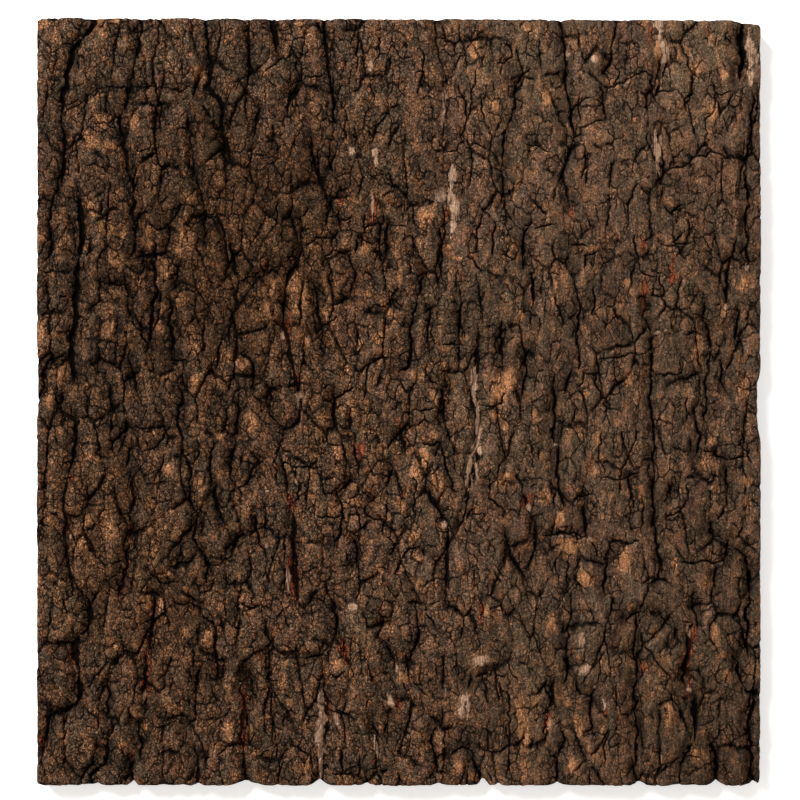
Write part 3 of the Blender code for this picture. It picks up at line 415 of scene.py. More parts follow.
def lay_routes(routes, share, reach, throw, seed):
    """Maps of the way to the nearest route: from its edge, from its line with a sign for the
    side, its half width there, and its second number. Share is how much of a thin route's
    width is the open gap itself; a wide one gapes more."""
    chance = np.random.default_rng(seed)
    gap = np.full((len(raster_y), len(raster_x)), reach)
    side, half, deep = np.full_like(gap, reach), np.full_like(gap, 0.5), np.zeros_like(gap)
    for width, depth, *points in routes:
        line = jag(points, chance, throw)
        count = len(line)
        run = np.hypot(*np.diff(line, axis=0).T)
        walked = np.concatenate([[0], np.cumsum(run)])
        swell = np.convolve(chance.uniform(0.1, 1.9, count + 2), (0.2, 0.6, 0.2), "valid")
        ease = np.clip(np.minimum(walked, walked[-1] - walked) / (1.3 * width + 3), 0, 1) ** 0.7
        wide = 0.5 * width * (share + GAPE * width) * swell * ease + HAIRLINE
        for k in range(count - 1):
            (ax, ay), (bx, by) = line[k], line[k + 1]
            i0, i1 = np.searchsorted(raster_x, (min(ax, bx) - reach, max(ax, bx) + reach))
            j0, j1 = np.searchsorted(raster_y, (min(ay, by) - reach, max(ay, by) + reach))
            if i1 <= i0 or j1 <= j0:
                continue
            x, y = np.meshgrid(raster_x[i0:i1] - ax, raster_y[j0:j1] - ay)
            ux, uy = (bx - ax) / run[k], (by - ay) / run[k]
            t = np.clip((x * ux + y * uy) / run[k], 0, 1)
            away = np.hypot(x - t * (bx - ax), y - t * (by - ay))
            local = wide[k] + t * (wide[k + 1] - wide[k])
            window = (slice(j0, j1), slice(i0, i1))
            nearer = away - local < gap[window]
            sign = np.where(x * uy > y * ux, 1.0, -1.0)
            for field, value in ((gap, away - local), (side, away * sign), (half, local), (deep, depth)):
                field[window] = np.where(nearer, value, field[window])
    return gap, side, half, deep


furrow_maps = lay_routes(FURROWS, share=0.25, reach=FURROW_REACH, throw=0.12, seed=31)
crack_maps = lay_routes(CRACKS, share=0.36, reach=CRACK_REACH, throw=0.15, seed=32)

# --------------------------------------------------------------------------------------------
# Bare patches: where a flake of the grey crust has dropped off, the cork under it shows. Tan
# and orange ones are dry and old, rust ones line the furrows, cream ones are freshly broken.
# Each is its middle, half width, half length, turn to the left in degrees, and strength.
# --------------------------------------------------------------------------------------------
TAN = (
    (-268, 285, 4, 6, 0, 1), (-225, 283, 8, 9, 0, .8), (-225, 213, 9, 6, 0, .7), (-235, 196, 8, 7, 0, .7),
    (-219, 192, 8, 7, 0, .7), (-247, 277, 3, 5, 0, .7), (-214, 287, 5, 5, 0, .8), (-200, 213, 5, 8, 0, .6),
    (-150, 247, 9, 11, 0, .7), (-160, 155, 6, 6, 0, .8), (-75, 215, 4, 11, 0, .8), (-75, 285, 4, 6, 0, .6),
    (-232, 147, 6, 9, 0, .9), (-220, 131, 8, 8, 0, .8), (-210, 126, 5, 5, 0, .9),
    (-212, 108, 9, 14, 0, .75), (-186, 129, 6, 5, 0, .9), (-188, 118, 5, 5, 0, .6), (-268, 125, 4, 5, 0, 1),
    (-258, 118, 3, 5, 0, .8), (-237, 116, 3, 4, 0, 1), (-162, 126, 4, 7, -15, .9), (-166, 112, 3, 7, 0, .8),
    (-177, 101, 5, 10, 30, .8), (-186, 94, 5, 6, 0, .5), (-218, 60, 4, 17, 0, .8), (-205, 45, 6, 12, 0, .5),
    (-178, 71, 5, 6, 0, .8), (-181, 56, 4, 9, 10, .8), (-165, 76, 7, 9, 30, .7), (-256, 21, 7, 11, 0, 1.1),
    (-264, 2, 4, 11, 5, .9), (-270, 55, 3, 14, 0, .7), (-154, 122, 9, 8, 0, .5), (-147, 95, 5, 12, 0, .6),
    (-132, 33, 7, 6, 0, .8), (-119, 29, 7, 6, 0, .7), (-135, 15, 8, 9, 0, .8), (-155, 40, 5, 6, 0, .6),
    (-152, 12, 5, 7, 0, .7), (-75, 84, 9, 20, 0, .8), (-97, 75, 7, 20, 0, .6), (-70, 45, 5, 5, 0, .8),
    (-95, 90, 4, 3, 0, 1), (-56, 65, 3, 5, 0, .8), (-45, 42, 4, 2, 0, .8), (-38, 73, 3, 5, -20, .9),
    (-30, 43, 4, 4, 0, .9), (-57, 128, 6, 5, 0, .6), (-62, 116, 5, 3, 0, .6), (-49, 88, 4, 6, 0, .6),
    (-25, 115, 4, 7, 0, .6), (-40, 26, 2, 9, 30, 1), (-16, 49, 6, 6, 0, 1.2), (-8, 68, 4, 14, 30, 1),
    (1, 95, 2.5, 20, 0, .8), (-25, 83, 4, 6, 0, .5), (-40, 118, 4, 5, 0, .5), (92, 65, 3, 7, 0, 1),
    (118, 88, 2, 5, 0, 1.2), (124, 95, 4, 8, 0, .8), (115, 74, 3, 6, 0, .8), (13, 20, 8, 6, 0, .7),
    (17, 20, 2, 2, 0, 1.2), (33, 25, 4, 10, 0, .8), (27, 3, 4, 8, 30, .9), (82, 17, 8, 16, -38, 1.1),
    (76, 2, 7, 7, 0, 1), (140, 5, 6, 4, 20, 1.2), (146, 116, 4, 4, 0, 1), (87, 117, 4, 8, 0, .7),
    (15, 118, 2, 8, 0, .8), (50, 48, 5, 4, 0, .9), (46, 108, 6, 2, 0, .8), (20, 138, 6, 9, 0, .7),
    (7, 275, 4, 6, 0, .8), (57, 268, 4, 12, 0, .9), (97, 280, 4, 6, 0, .7), (112, 225, 6, 10, 0, .7),
    (14, 192, 4, 6, 0, .7), (72, 222, 4, 7, 0, .6), (195, 265, 3, 14, 0, 1), (222, 250, 5, 8, 0, .6),
    (245, 245, 5, 6, 0, .6), (237, 215, 4, 8, 0, .6), (225, 168, 5, 7, 0, .6), (205, 148, 5, 4, 0, .8),
    (172, 89, 4, 4, 0, 1), (168, 76, 2.5, 6, 0, .7), (172, 16, 5, 11, 0, .8), (226, 38, 4, 18, 0, .8),
    (242, 55, 3, 6, 30, .8), (260, 15, 5, 11, 0, .8), (258, 87, 6, 7, 0, .5), (245, 70, 3, 5, 0, .6),
    (236, -30, 3, 4, 0, 1), (232, -44, 6, 8, 0, .8), (262, -75, 3, 6, 0, 1.2), (263, -60, 6, 6, 0, .9),
    (184, -72, 3, 11, 8, .8), (172, -3, 2.5, 9, 0, .7), (164, -15, 4, 4, 0, .9), (153, -43, 2, 7, 0, .9),
    (150, -28, 2, 9, 0, .6), (170, -120, 5, 15, 0, .8), (233, -136, 5, 6, 0, .8), (240, -121, 2, 2, 0, 1.1),
    (143, -134, 7, 7, 0, .6), (209, -120, 3, 6, -20, .8), (-112, -14, 6, 10, 0, 1), (-24, -12, 4, 5, 0, .9),
    (-35, -8, 5, 5, 0, .8), (-12, -34, 4, 7, 20, 1), (-17, -22, 4, 6, 0, .7), (-35, -64, 4, 4, 0, .8),
    (-57, -12, 7, 7, 0, .6), (-21, -106, 5, 3, 0, .8), (-14, -127, 6, 9, 0, .8), (-72, -105, 3, 4, 0, 1),
    (-76, -68, 3, 5, 0, 1), (-50, -80, 5, 6, 0, .6), (-35, -75, 5, 5, 0, .7), (-45, -40, 7, 8, 0, .5),
    (30, -62, 6, 14, 15, 1.1), (20, -42, 6, 8, 20, .9), (12, -54, 5, 4, 0, .8), (10, -103, 4, 7, 0, 1),
    (3, -80, 4, 9, 0, .7), (110, -72, 6, 9, 0, 1), (121, -90, 5, 9, 0, 1.2), (124, -108, 9, 7, 0, 1),
    (132, -110, 3, 9, 0, 1), (95, -33, 2, 3, 0, 1.1), (108, -42, 3, 7, 15, .9), (26, -25, 5, 5, 0, .7),
    (80, -19, 3, 4, 0, .9), (75, -10, 4, 5, 0, .7), (138, -78, 3, 4, 0, .8), (13, -118, 4, 6, 0, .7),
    (17, -137, 5, 6, 0, .7), (103, -8, 2.5, 5, -15, 1), (92, -115, 6, 9, 0, .5), (80, -58, 7, 8, -30, .6),
    (93, -242, 4.5, 22, 5, 1.15), (95, -277, 4, 9, 0, .9), (135, -243, 4, 15, 10, .9),
    (128, -227, 4, 4, 0, 1), (47, -275, 5, 5, 0, .9), (56, -284, 4, 4, 0, 1), (14, -222, 4, 4, 20, .9),
    (66, -157, 3.5, 4.5, 0, 1.3), (115, -167, 5, 10, 0, .8), (33, -163, 3, 4, 0, .8),
    (3, -192, 4, 3, 0, .9), (5, -210, 6, 7, 0, .6), (131, -275, 3, 7, 0, .8), (78, -158, 5, 3, 0, .6),
    (84, -168, 2, 6, -20, .7), (226, -266, 5, 5, 0, 1.2), (203, -241, 4, 17, 0, .9),
    (238, -178, 4, 12, 0, .7), (245, -191, 4, 4, 20, .8), (247, -206, 5, 6, 0, .8),
    (174, -154, 4, 5, -20, .9), (152, -195, 3, 5, 0, .8), (250, -178, 2.5, 4, 0, .8),
    (144, -264, 4, 7, 20, .6), (204, -193, 3, 4, 0, .6), (-188, -78, 4, 10, 0, .9),
    (-187, -95, 4, 3, 0, .9), (-176, -94, 4, 5, 0, .9), (-184, -113, 3, 12, 0, .9),
    (-178, -131, 9, 4, -10, .8), (-186, -26, 4, 4, 0, .8), (-175, -52, 3, 5, 0, .8),
    (-221, -85, 6, 11, 0, .6), (-219, -100, 3, 9, 0, .7), (-240, -103, 8, 9, 0, .6),
    (-234, -88, 4, 6, 0, .7), (-232, -42, 3, 9, 45, .7), (-256, -22, 3, 8, 10, .7),
    (-258, -40, 6, 3, 40, .7), (-150, -60, 6, 9, 0, .6), (-152, -12, 7, 9, 0, .6), (-132, -53, 8, 6, 0, .6),
    (-135, -25, 4, 6, 0, .7), (-180, -155, 4, 10, -15, .8), (-190, -153, 3, 6, 0, .8),
    (-162, -175, 3, 6, 0, .6), (-144, -178, 3, 10, 0, .8), (-181, -233, 3, 3, 0, 1),
    (-198, -236, 5, 4, 0, .8), (-192, -246, 3, 4, -30, 1), (-209, -262, 4, 8, -20, .9),
    (-198, -184, 6, 5, 0, .6), (-128, -248, 4, 9, 0, .8), (-107, -266, 4, 4, 0, .9),
    (-112, -248, 3, 5, 0, .8), (-125, -282, 4, 5, 0, .6), (-88, -213, 4, 8, 0, .7),
    (-82, -227, 4, 4, 0, .8), (-70, -275, 4, 5, 0, .6), (-46, -198, 6, 7, 0, .7),
    (-14, -247, 3, 6, 10, 1.1), (-6, -170, 4, 9, 15, .9), (-135, -155, 4, 5, 20, 1),
    (-120, -145, 5, 6, 0, .5), (-253, -255, 4, 8, 20, .7), (-268, -240, 2.5, 8, 0, .8),
    (-230, -233, 3, 4, 0, .6), (-216, -180, 5, 4, 0, .6),
)
RUST = (
    (-270, -255, 3.5, 5, 0, 1.2), (207, 106, 1.6, 11, 0, .9), (206, 93, 4, 5, 0, 1.3),
    (184, 117, 3, 9, -10, .7), (186, 70, 3, 8, 0, .7), (-86, 56, 4, 8, 0, 1), (-77, 14, 3.5, 9, 0, 1),
    (-79, -132, 5, 15, 0, 1.1), (-80, -105, 3, 12, 0, .6), (-80, -75, 4, 9, 0, .5),
    (-55, -232, 5, 14, 0, 1), (-43, -184, 3, 9, -15, 1.1), (-118, -222, 4, 6, 0, .8),
    (-118, -256, 4, 9, 0, .9), (-203, -98, 2, 13, 0, .9), (-246, -190, 4, 9, 0, .6),
    (-202, -270, 4, 6, 0, .8), (-193, -212, 3, 9, 0, .6), (-152, -284, 3, 5, 0, .9),
    (-18, -270, 3, 8, 0, .8), (97, -74, 4, 8, -20, 1.1), (62, -158, 2, 7, 0, 1.2), (28, -276, 4, 6, 0, .5),
    (222, -176, 4, 12, 0, .8), (216, -200, 4, 12, 0, .6), (101, 80, 2, 8, 0, 1), (36, 141, 4, 6, 0, .6),
    (71, 126, 2, 9, 0, .9), (131, 143, 3, 6, 0, 1), (-22, 178, 2, 7, 20, .9), (-15, 150, 2, 4, 0, .8),
    (-20, 142, 3, 9, 0, .8), (-2, -15, 5, 5, 0, .5), (-30, -38, 5, 9, 0, .5), (40, 160, 2, 4, 0, .9),
    (4, -70, 4, 8, 0, .4), (-247, -57, 4, 5, 0, .5), (-250, -98, 3, 6, 0, .4), (-121, -190, 3, 9, 0, .3),
    (58, -15, 2, 12, 0, .5), (184, -200, 4, 5, 0, .7), (-2, -228, 4, 8, 0, .6), (112, -242, 3, 8, 0, .6),
    (155, -235, 3, 5, 0, .6), (-44, 150, 3, 8, 0, .3), (-93, -178, 3, 8, 0, .3), (-104, -190, 2, 12, 0, .5),
    (-139, -190, 2, 16, 0, .6),
)
CREAM = (
    (-21, 252, 2, 5, 0, 1), (34, 224, 1.2, 11, 4, .9), (41, 172, 3, 7, 10, .9), (43, 146, 3, 8, 0, .8),
    (196, 285, 4, 4, 0, 1), (203, 262, 1.3, 10, 5, .9), (196, 187, 1.8, 16, -6, .9), (268, 262, 5, 7, 0, 1),
    (266, 244, 2, 8, -10, .8), (147, 258, 3, 3, 0, .9), (195, 52, 3, 1.6, 15, 1.3),
    (218, 87, .9, .9, 0, 1.2), (201, 54, 3, 1, 20, .9), (56, 12, 2.2, 12, 4, .8), (60, -20, 2.5, 8, 0, .9),
    (61, -37, 1.8, 5, 0, 1.1), (54, -52, 1.2, 14, 8, .8), (59, -52, 1.5, 10, 8, .6),
    (-60, -250, 4, 14, -4, .8), (-59, -274, 1.8, 12, 0, 1), (-47, -240, 2, 8, 10, .7),
    (-84, -132, 1.6, 12, 0, .9), (-88, 50, 2, 4, 0, .7), (-75, 5, 3, 3, 0, .8), (-20, 148, 1.4, 10, 0, .8),
    (-18, 188, 3, 4, 0, .7), (-36, 189, 3, 4, 0, .6), (-100, -109, 1.8, 1.8, 0, 1.1),
    (-62, -66, 2, 1.5, 0, 1.1), (-50, -135, 1.8, 1.2, 0, 1), (-99, -68, 1.8, 2, 0, .8),
    (-248, -102, 1.5, 3, 0, .9), (-193, -103, 1.3, 1.3, 0, 1), (-222, -72, 1.2, 1.2, 0, .9),
    (-192, -222, 1.4, 5, 0, 1), (-228, -250, 1.2, 2.5, 0, 1), (-2, -202, 1.6, 4, 0, 1),
    (-6, -226, 2.5, 9, 15, .7), (-35, -155, 4, 3, 0, .8), (47, -230, 2.5, 9, 0, .7),
    (50, -224, 2, 3, 0, .8), (62, -196, 6, 5, 0, .6), (140, -203, 6, 5, 0, .5), (138, -180, 3, 8, 0, .5),
    (155, -228, .9, 4, 5, 1.3), (148, -216, 1.2, 1.5, 0, 1), (219, -218, 2, 3, 0, .8),
    (219, -174, 2, 5, 15, .8), (98, -80, 2.5, 3, 0, .8), (118, -33, 2.4, 1.4, 30, 1),
    (34, -93, 3, 4, 0, .6), (-17, -262, 1.5, 6, 0, .8), (32, 156, 5, 6, 0, .5), (122, -101.5, 9, 1, 0, .6),
    (247, 72, 1.5, 3, 0, .7), (104, -80, 1, 1, 0, 1.1), (145, -105, 2.5, 3, 0, .5), (263, 101, 2, 3, 0, .8),
    (235, -65, 3, 2, 0, .8), (-204, 62, 1.2, 1.2, 0, .9), (128, 262, 2, 2, 0, .5), (141, -127, 1, 1, 0, 1),
    (-77, -60, 1.5, 6, 0, .5), (114, -245, 1.5, 6, 0, .6),
)

# Streaks along the grain: width, kind (1 pale broken cork, 2 red living cork), and the route
STREAKS = (
    (3.4, 1, (194, 288), (197, 276), (200, 262), (199, 250), (198, 237)),
    (2.6, 1, (194, 206), (194, 190), (197, 171)), (4.2, 1, (40, 180), (38, 160), (42, 141), (39, 124)),
    (2, 1, (35, 234), (33, 206)), (2.4, 1, (-17, 192), (-18, 176)),
    (3.4, 1, (58, 27), (57, 2), (60, -21), (54, -48), (52, -68)),
    (5, 1, (264, 281), (267, 260), (264, 243)), (4.4, 1, (-58, -216), (-57, -240), (-58, -273)),
    (3, 1, (50, -217), (52, -242)), (2.6, 1, (-84, -118), (-84, -142)), (2, 1, (-75, 8), (-76, -6)),
    (2.4, 1, (-18, -252), (-16, -268)), (2, 1, (154, -224), (155, -232)),
    (3, 2, (220, -180), (218, -200), (219, -226)), (5, 2, (-81, -112), (-80, -132), (-79, -151)),
    (3.4, 2, (-18, 158), (-21, 130)), (5, 2, (-41, -178), (-38, -200)), (4.4, 2, (-57, -200), (-54, -216)),
    (2.6, 2, (207, 114), (206, 102), (205, 86)), (3.4, 2, (186, 94), (184, 68)),
    (3, 2, (-186, -148), (-190, -190), (-190, -226)), (2.2, 2, (-203, -118), (-211, -148)),
    (4.4, 2, (-116, -216), (-118, -257)), (3, 2, (61, -148), (62, -170)), (3.6, 2, (-82, 72), (-86, 42)),
    (2.2, 2, (-203, -86), (-204, -110)), (2, 2, (189, 284), (191, 262)),
)

# Broad weathering: middle, half width, half length, how much lighter, and how much browner
WEATHER = (
    (-170, 130, 90, 140, -0.36, 0), (-240, -120, 130, 220, -0.13, 0), (200, 290, 160, 90, 0.34, 0),
    (20, 230, 120, 120, 0.06, 0), (260, -230, 80, 120, -0.16, 0), (50, -40, 130, 110, 0.1, 0),
    (-105, 120, 60, 80, -0.12, 0), (-210, 285, 120, 50, 0.22, -0.7), (-135, 110, 90, 100, 0, 0.9),
    (200, 250, 160, 120, 0, -0.3), (-35, -40, 45, 45, 0.12, 0), (100, -40, 45, 45, 0.18, 0),
    (-35, -180, 50, 50, 0.1, 0), (100, -180, 50, 50, 0.18, 0), (-100, 150, 45, 60, -0.08, 0),
    (-105, -40, 40, 40, -0.08, 0), (245, 225, 40, 60, 0.16, -0.2), (-75, 85, 24, 34, 0, 0.5),
    (-234, -97, 50, 80, 0, 0.7), (-170, -180, 60, 90, 0, 0.5), (-40, -36, 60, 70, 0, 0.4),
    (120, -250, 160, 60, 0, 0.3), (-20, 170, 60, 90, 0, 0.25), (245, 110, 40, 45, -0.07, 0),
    (169, -108, 40, 40, -0.07, 0), (0, 255, 110, 40, -0.05, 0),
)


def lay_patches(patches):
    """How far inside a patch each place is: its strength at the middle, falling to -1 outside."""
    inside = np.full((len(raster_y), len(raster_x)), -1.0)
    for middle_x, middle_y, half_width, half_length, turn, strength in patches:
        reach = 2.2 * max(half_width, half_length)
        i0, i1 = np.searchsorted(raster_x, (middle_x - reach, middle_x + reach))
        j0, j1 = np.searchsorted(raster_y, (middle_y - reach, middle_y + reach))
        x, y = np.meshgrid(raster_x[i0:i1] - middle_x, raster_y[j0:j1] - middle_y)
        cos, sin = np.cos(np.radians(turn)), np.sin(np.radians(turn))
        across = (x * cos + y * sin) / half_width
        along = (y * cos - x * sin) / half_length
        share = strength - np.hypot(across, along) * strength
        window = (slice(j0, j1), slice(i0, i1))
        inside[window] = np.maximum(inside[window], share)
    return inside


MARKS = {"tan": lay_patches(TAN), "rust": lay_patches(RUST), "cream": lay_patches(CREAM)}
streak_maps = lay_routes(STREAKS, share=0.65, reach=CRACK_REACH, throw=0.1, seed=33)
for route, second, maps in (("furrow", "deep", furrow_maps), ("crack", "deep", crack_maps),
                            ("streak", "kind", streak_maps)):
    for name, field in zip(("gap", "side", "half", second), maps):
        MARKS[route + "_" + name] = field
MARKS["light"] = MARKS["brown"] = 0
for middle_x, middle_y, half_width, half_length, lighter, browner in WEATHER:
    off_x = (raster_x[None] - middle_x) / half_width
    off_y = (raster_y[:, None] - middle_y) / half_length
    share = np.exp(-off_x ** 2 - off_y ** 2)
    MARKS["light"] = MARKS["light"] + share * lighter
    MARKS["brown"] = MARKS["brown"] + share * browner


def read_raster(field, x, y):
    """Reads a raster field between its samples."""
    across = np.clip((x - raster_x[0]) / RASTER, 0, len(raster_x) - 1.001)
    along = np.clip((y - raster_y[0]) / RASTER, 0, len(raster_y) - 1.001)
    i, j = across.astype(int), along.astype(int)
    s, t = across - i, along - j
    near_row = field[j, i] * (1 - s) + field[j, i + 1] * s
    far_row = field[j + 1, i] * (1 - s) + field[j + 1, i + 1] * s
    return near_row * (1 - t) + far_row * t


def write_marks(mesh, marks):
    """Stores one number at each point of a mesh, under each name."""
    for name, values in marks.items():
        attribute = mesh.attributes.new(name, "FLOAT", "POINT")
        attribute.data.foreach_set("value", np.ascontiguousarray(values, dtype=np.float32))


# --------------------------------------------------------------------------------------------
# The blank: a closed block with a fine grid over the crust, rings down the sawn sides, and a
# coarser back. Its "level" runs from 0 at the back to 1 at the crust, so that the crust's
# height can be grown into it.
# --------------------------------------------------------------------------------------------
BACK_STEPS = 4
COLUMNS = int(WIDTH / GRID_STEP / BACK_STEPS) * BACK_STEPS
ROWS = int(LENGTH / GRID_STEP / BACK_STEPS) * BACK_STEPS
SIDE_RINGS = 10
FOOT_HEIGHT = 0.8
FOOT_INSET = 1.6


def ring_of(columns, rows):
    """The grid's outer points, once round, from the low corner along the bottom first."""
    stride = columns + 1
    bottom = list(range(columns))
    right = [j * stride + columns for j in range(rows)]
    top = [rows * stride + i for i in range(columns, 0, -1)]
    left = [j * stride for j in range(rows, 0, -1)]
    return np.array(bottom + right + top + left)


def grid_quads(columns, rows):
    """The four corners of each cell of a grid of points, counted anticlockwise from above."""
    i, j = np.meshgrid(np.arange(columns), np.arange(rows))
    first = (j * (columns + 1) + i).ravel()
    return np.column_stack([first, first + 1, first + columns + 2, first + columns + 1])


def make_blank():
    """The block as an object, with its marks. Each step of the back spans four of the rim's."""
    across, along = np.meshgrid(np.linspace(0, 1, COLUMNS + 1), np.linspace(0, 1, ROWS + 1))
    x, y, inset = saw_outline(across.ravel(), along.ravel())
    ring = ring_of(COLUMNS, ROWS)
    points = [np.column_stack([x, y])]
    levels = [np.ones(len(x))]
    insets = [inset]
    faces = grid_quads(COLUMNS, ROWS).tolist()
    upper = ring
    size = len(ring)
    following = np.roll(np.arange(size), -1)
    for step in range(1, SIDE_RINGS + 1):
        lower = np.arange(size) + sum(len(part) for part in points)
        points.append(np.column_stack([x[ring], y[ring]]))
        levels.append(np.full(size, 1 - step / SIDE_RINGS))
        insets.append(np.zeros(size))
        faces += np.column_stack([upper, lower, lower[following], upper[following]]).tolist()
        upper = lower
    start = sum(len(part) for part in points)
    columns, rows = COLUMNS // BACK_STEPS, ROWS // BACK_STEPS
    across, along = np.meshgrid(np.linspace(0, 1, columns + 1), np.linspace(0, 1, rows + 1))
    back_x, back_y, back_inset = saw_outline(across.ravel(), along.ravel())
    pull_x = 1 - 2 * FOOT_INSET / WIDTH
    pull_y = 1 - 2 * FOOT_INSET / LENGTH
    points.append(np.column_stack([back_x * pull_x, back_y * pull_y]))
    levels.append(np.full(len(back_x), -1.0))
    insets.append(back_inset)
    faces += (grid_quads(columns, rows)[:, ::-1] + start).tolist()
    back_ring = ring_of(columns, rows) + start
    for k, (here, there) in enumerate(zip(back_ring, np.roll(back_ring, -1))):
        a, b, c, d, e = (upper[(BACK_STEPS * k + n) % size] for n in range(BACK_STEPS + 1))
        faces += [[a, here, b], [b, here, c], [c, here, there], [c, there, d], [d, there, e]]
    flat = np.vstack(points)
    level = np.concatenate(levels)
    mesh = bpy.data.meshes.new("blank")
    corners = np.column_stack([flat * MM, np.zeros(len(flat))])
    mesh.from_pydata(corners.tolist(), [], faces)
    marks = {name: read_raster(field, flat[:, 0], flat[:, 1]) for name, field in MARKS.items()}
    write_marks(mesh, {**marks, "level": level, "inset": np.concatenate(insets)})
    blank = bpy.data.objects.new("bark_slab", mesh)
    bpy.context.scene.collection.objects.link(blank)
    return blank


# --------------------------------------------------------------------------------------------
# Growth: the crust is made of plates, the plates of chips, and the chips of crumbs, each with
# its own level, lean and tone. The same sums shape the mesh and colour it, so that a chip's
# edge in the shape is also its edge in the colour.
# --------------------------------------------------------------------------------------------
class Wire:
    """A socket of a node tree. Arithmetic on it adds Math nodes to the tree."""

    def __init__(self, tree, socket):
        self.tree = tree
        self.socket = socket

    def node(self, kind, inputs=None, output=0, **settings):
        """Adds any node: its settings first, then the values or links of its sockets."""
        node = self.tree.nodes.new(kind)
        for name, value in settings.items():
            setattr(node, name, value)
        for name, value in (inputs or {}).items():
            if isinstance(value, Wire):
                self.tree.links.new(value.socket, node.inputs[name])
            else:
                node.inputs[name].default_value = value
        return Wire(self.tree, node.outputs[output])

    def math(self, operation, *others, first=None):
        values = ((self,) if first is None else (first, self)) + others
        return self.node("ShaderNodeMath", dict(enumerate(values)), operation=operation)

    def __add__(self, other):
        return self.math("ADD", other)

    def __sub__(self, other):
        return self.math("SUBTRACT", other)

    def __rsub__(self, other):
        return self.math("SUBTRACT", first=other)

    def __mul__(self, other):
        return self.math("MULTIPLY", other)

    def __truediv__(self, other):
        return self.math("DIVIDE", other)

    def __pow__(self, other):
        return self.math("POWER", other)

    __radd__ = __add__
    __rmul__ = __mul__

    def least(self, other):
        return self.math("MINIMUM", other)

    def most(self, other):
        return self.math("MAXIMUM", other)

    def ramp(self, start, end):
        """0 before start and 1 past end, with a smooth step between; start may be the higher."""
        return self.node("ShaderNodeMapRange", {"Value": self, "From Min": start, "From Max": end},
                         interpolation_type="SMOOTHSTEP")

    def parts(self):
        """The three numbers of a vector or a colour."""
        split = self.node("ShaderNodeSeparateXYZ", {0: self}).socket.node
        return [Wire(self.tree, socket) for socket in split.outputs]

    def spot(self, y, across, along, seed):
        """A place for a pattern whose unit is across by along millimetres."""
        return self.node("ShaderNodeCombineXYZ",
                         {0: self / across + 17.3 * seed, 1: y / along + 5.9 * seed})

    def noise(self, y, across, along, seed, detail=2.0, roughness=0.5):
        """Soft noise around 0.5, with lumps of about across by along millimetres."""
        return self.node("ShaderNodeTexNoise",
                         {"Vector": self.spot(y, across, along, seed), "Scale": 1.0,
                          "Detail": detail, "Roughness": roughness}, noise_dimensions="2D")

    def cells(self, y, across, along, seed):
        """Packed cells: distance to the nearest edge in millimetres, then for each cell three
        random shares and the offsets from its middle."""
        spot = self.spot(y, across, along, seed)
        settings = {"voronoi_dimensions": "2D"}
        edge = self.node("ShaderNodeTexVoronoi", {"Vector": spot, "Scale": 1.0},
                         feature="DISTANCE_TO_EDGE", **settings)
        cell = self.node("ShaderNodeTexVoronoi", {"Vector": spot, "Scale": 1.0}, feature="F1", **settings)
        outputs = cell.socket.node.outputs
        shares = Wire(self.tree, outputs["Color"]).parts()
        middle = Wire(self.tree, outputs["Position"]).parts()
        here = spot.parts()
        return edge * across, shares, (here[0] - middle[0], here[1] - middle[1])


# Sizes across and along the grain
SWAY = (36, 55)
PLATE = (21, 42)
CHIP = (8.2, 12.8)
SHARD = (3.5, 5.5)
LUMP = (11, 15)
JAG = (5, 6.5)
GRIT = (2.4, 2.9)
FIBRE = (1.5, 19)
RIDGE = (8, 90)
SMOOTH_FROM, SMOOTH_TO = -60, 140
# Depths: how far one plate, chip or shard drops below the next, its cracks, and a furrow's bank
PLATE_DROP = 2.2
CHIP_DROP = 1.2
SHARD_DROP = 0.8
PLATE_CRACK_DEPTH = 2.4
CHIP_CRACK_DEPTH = 0.8
BANK_SHARE = 0.52
CROWN_GAP = 0.6


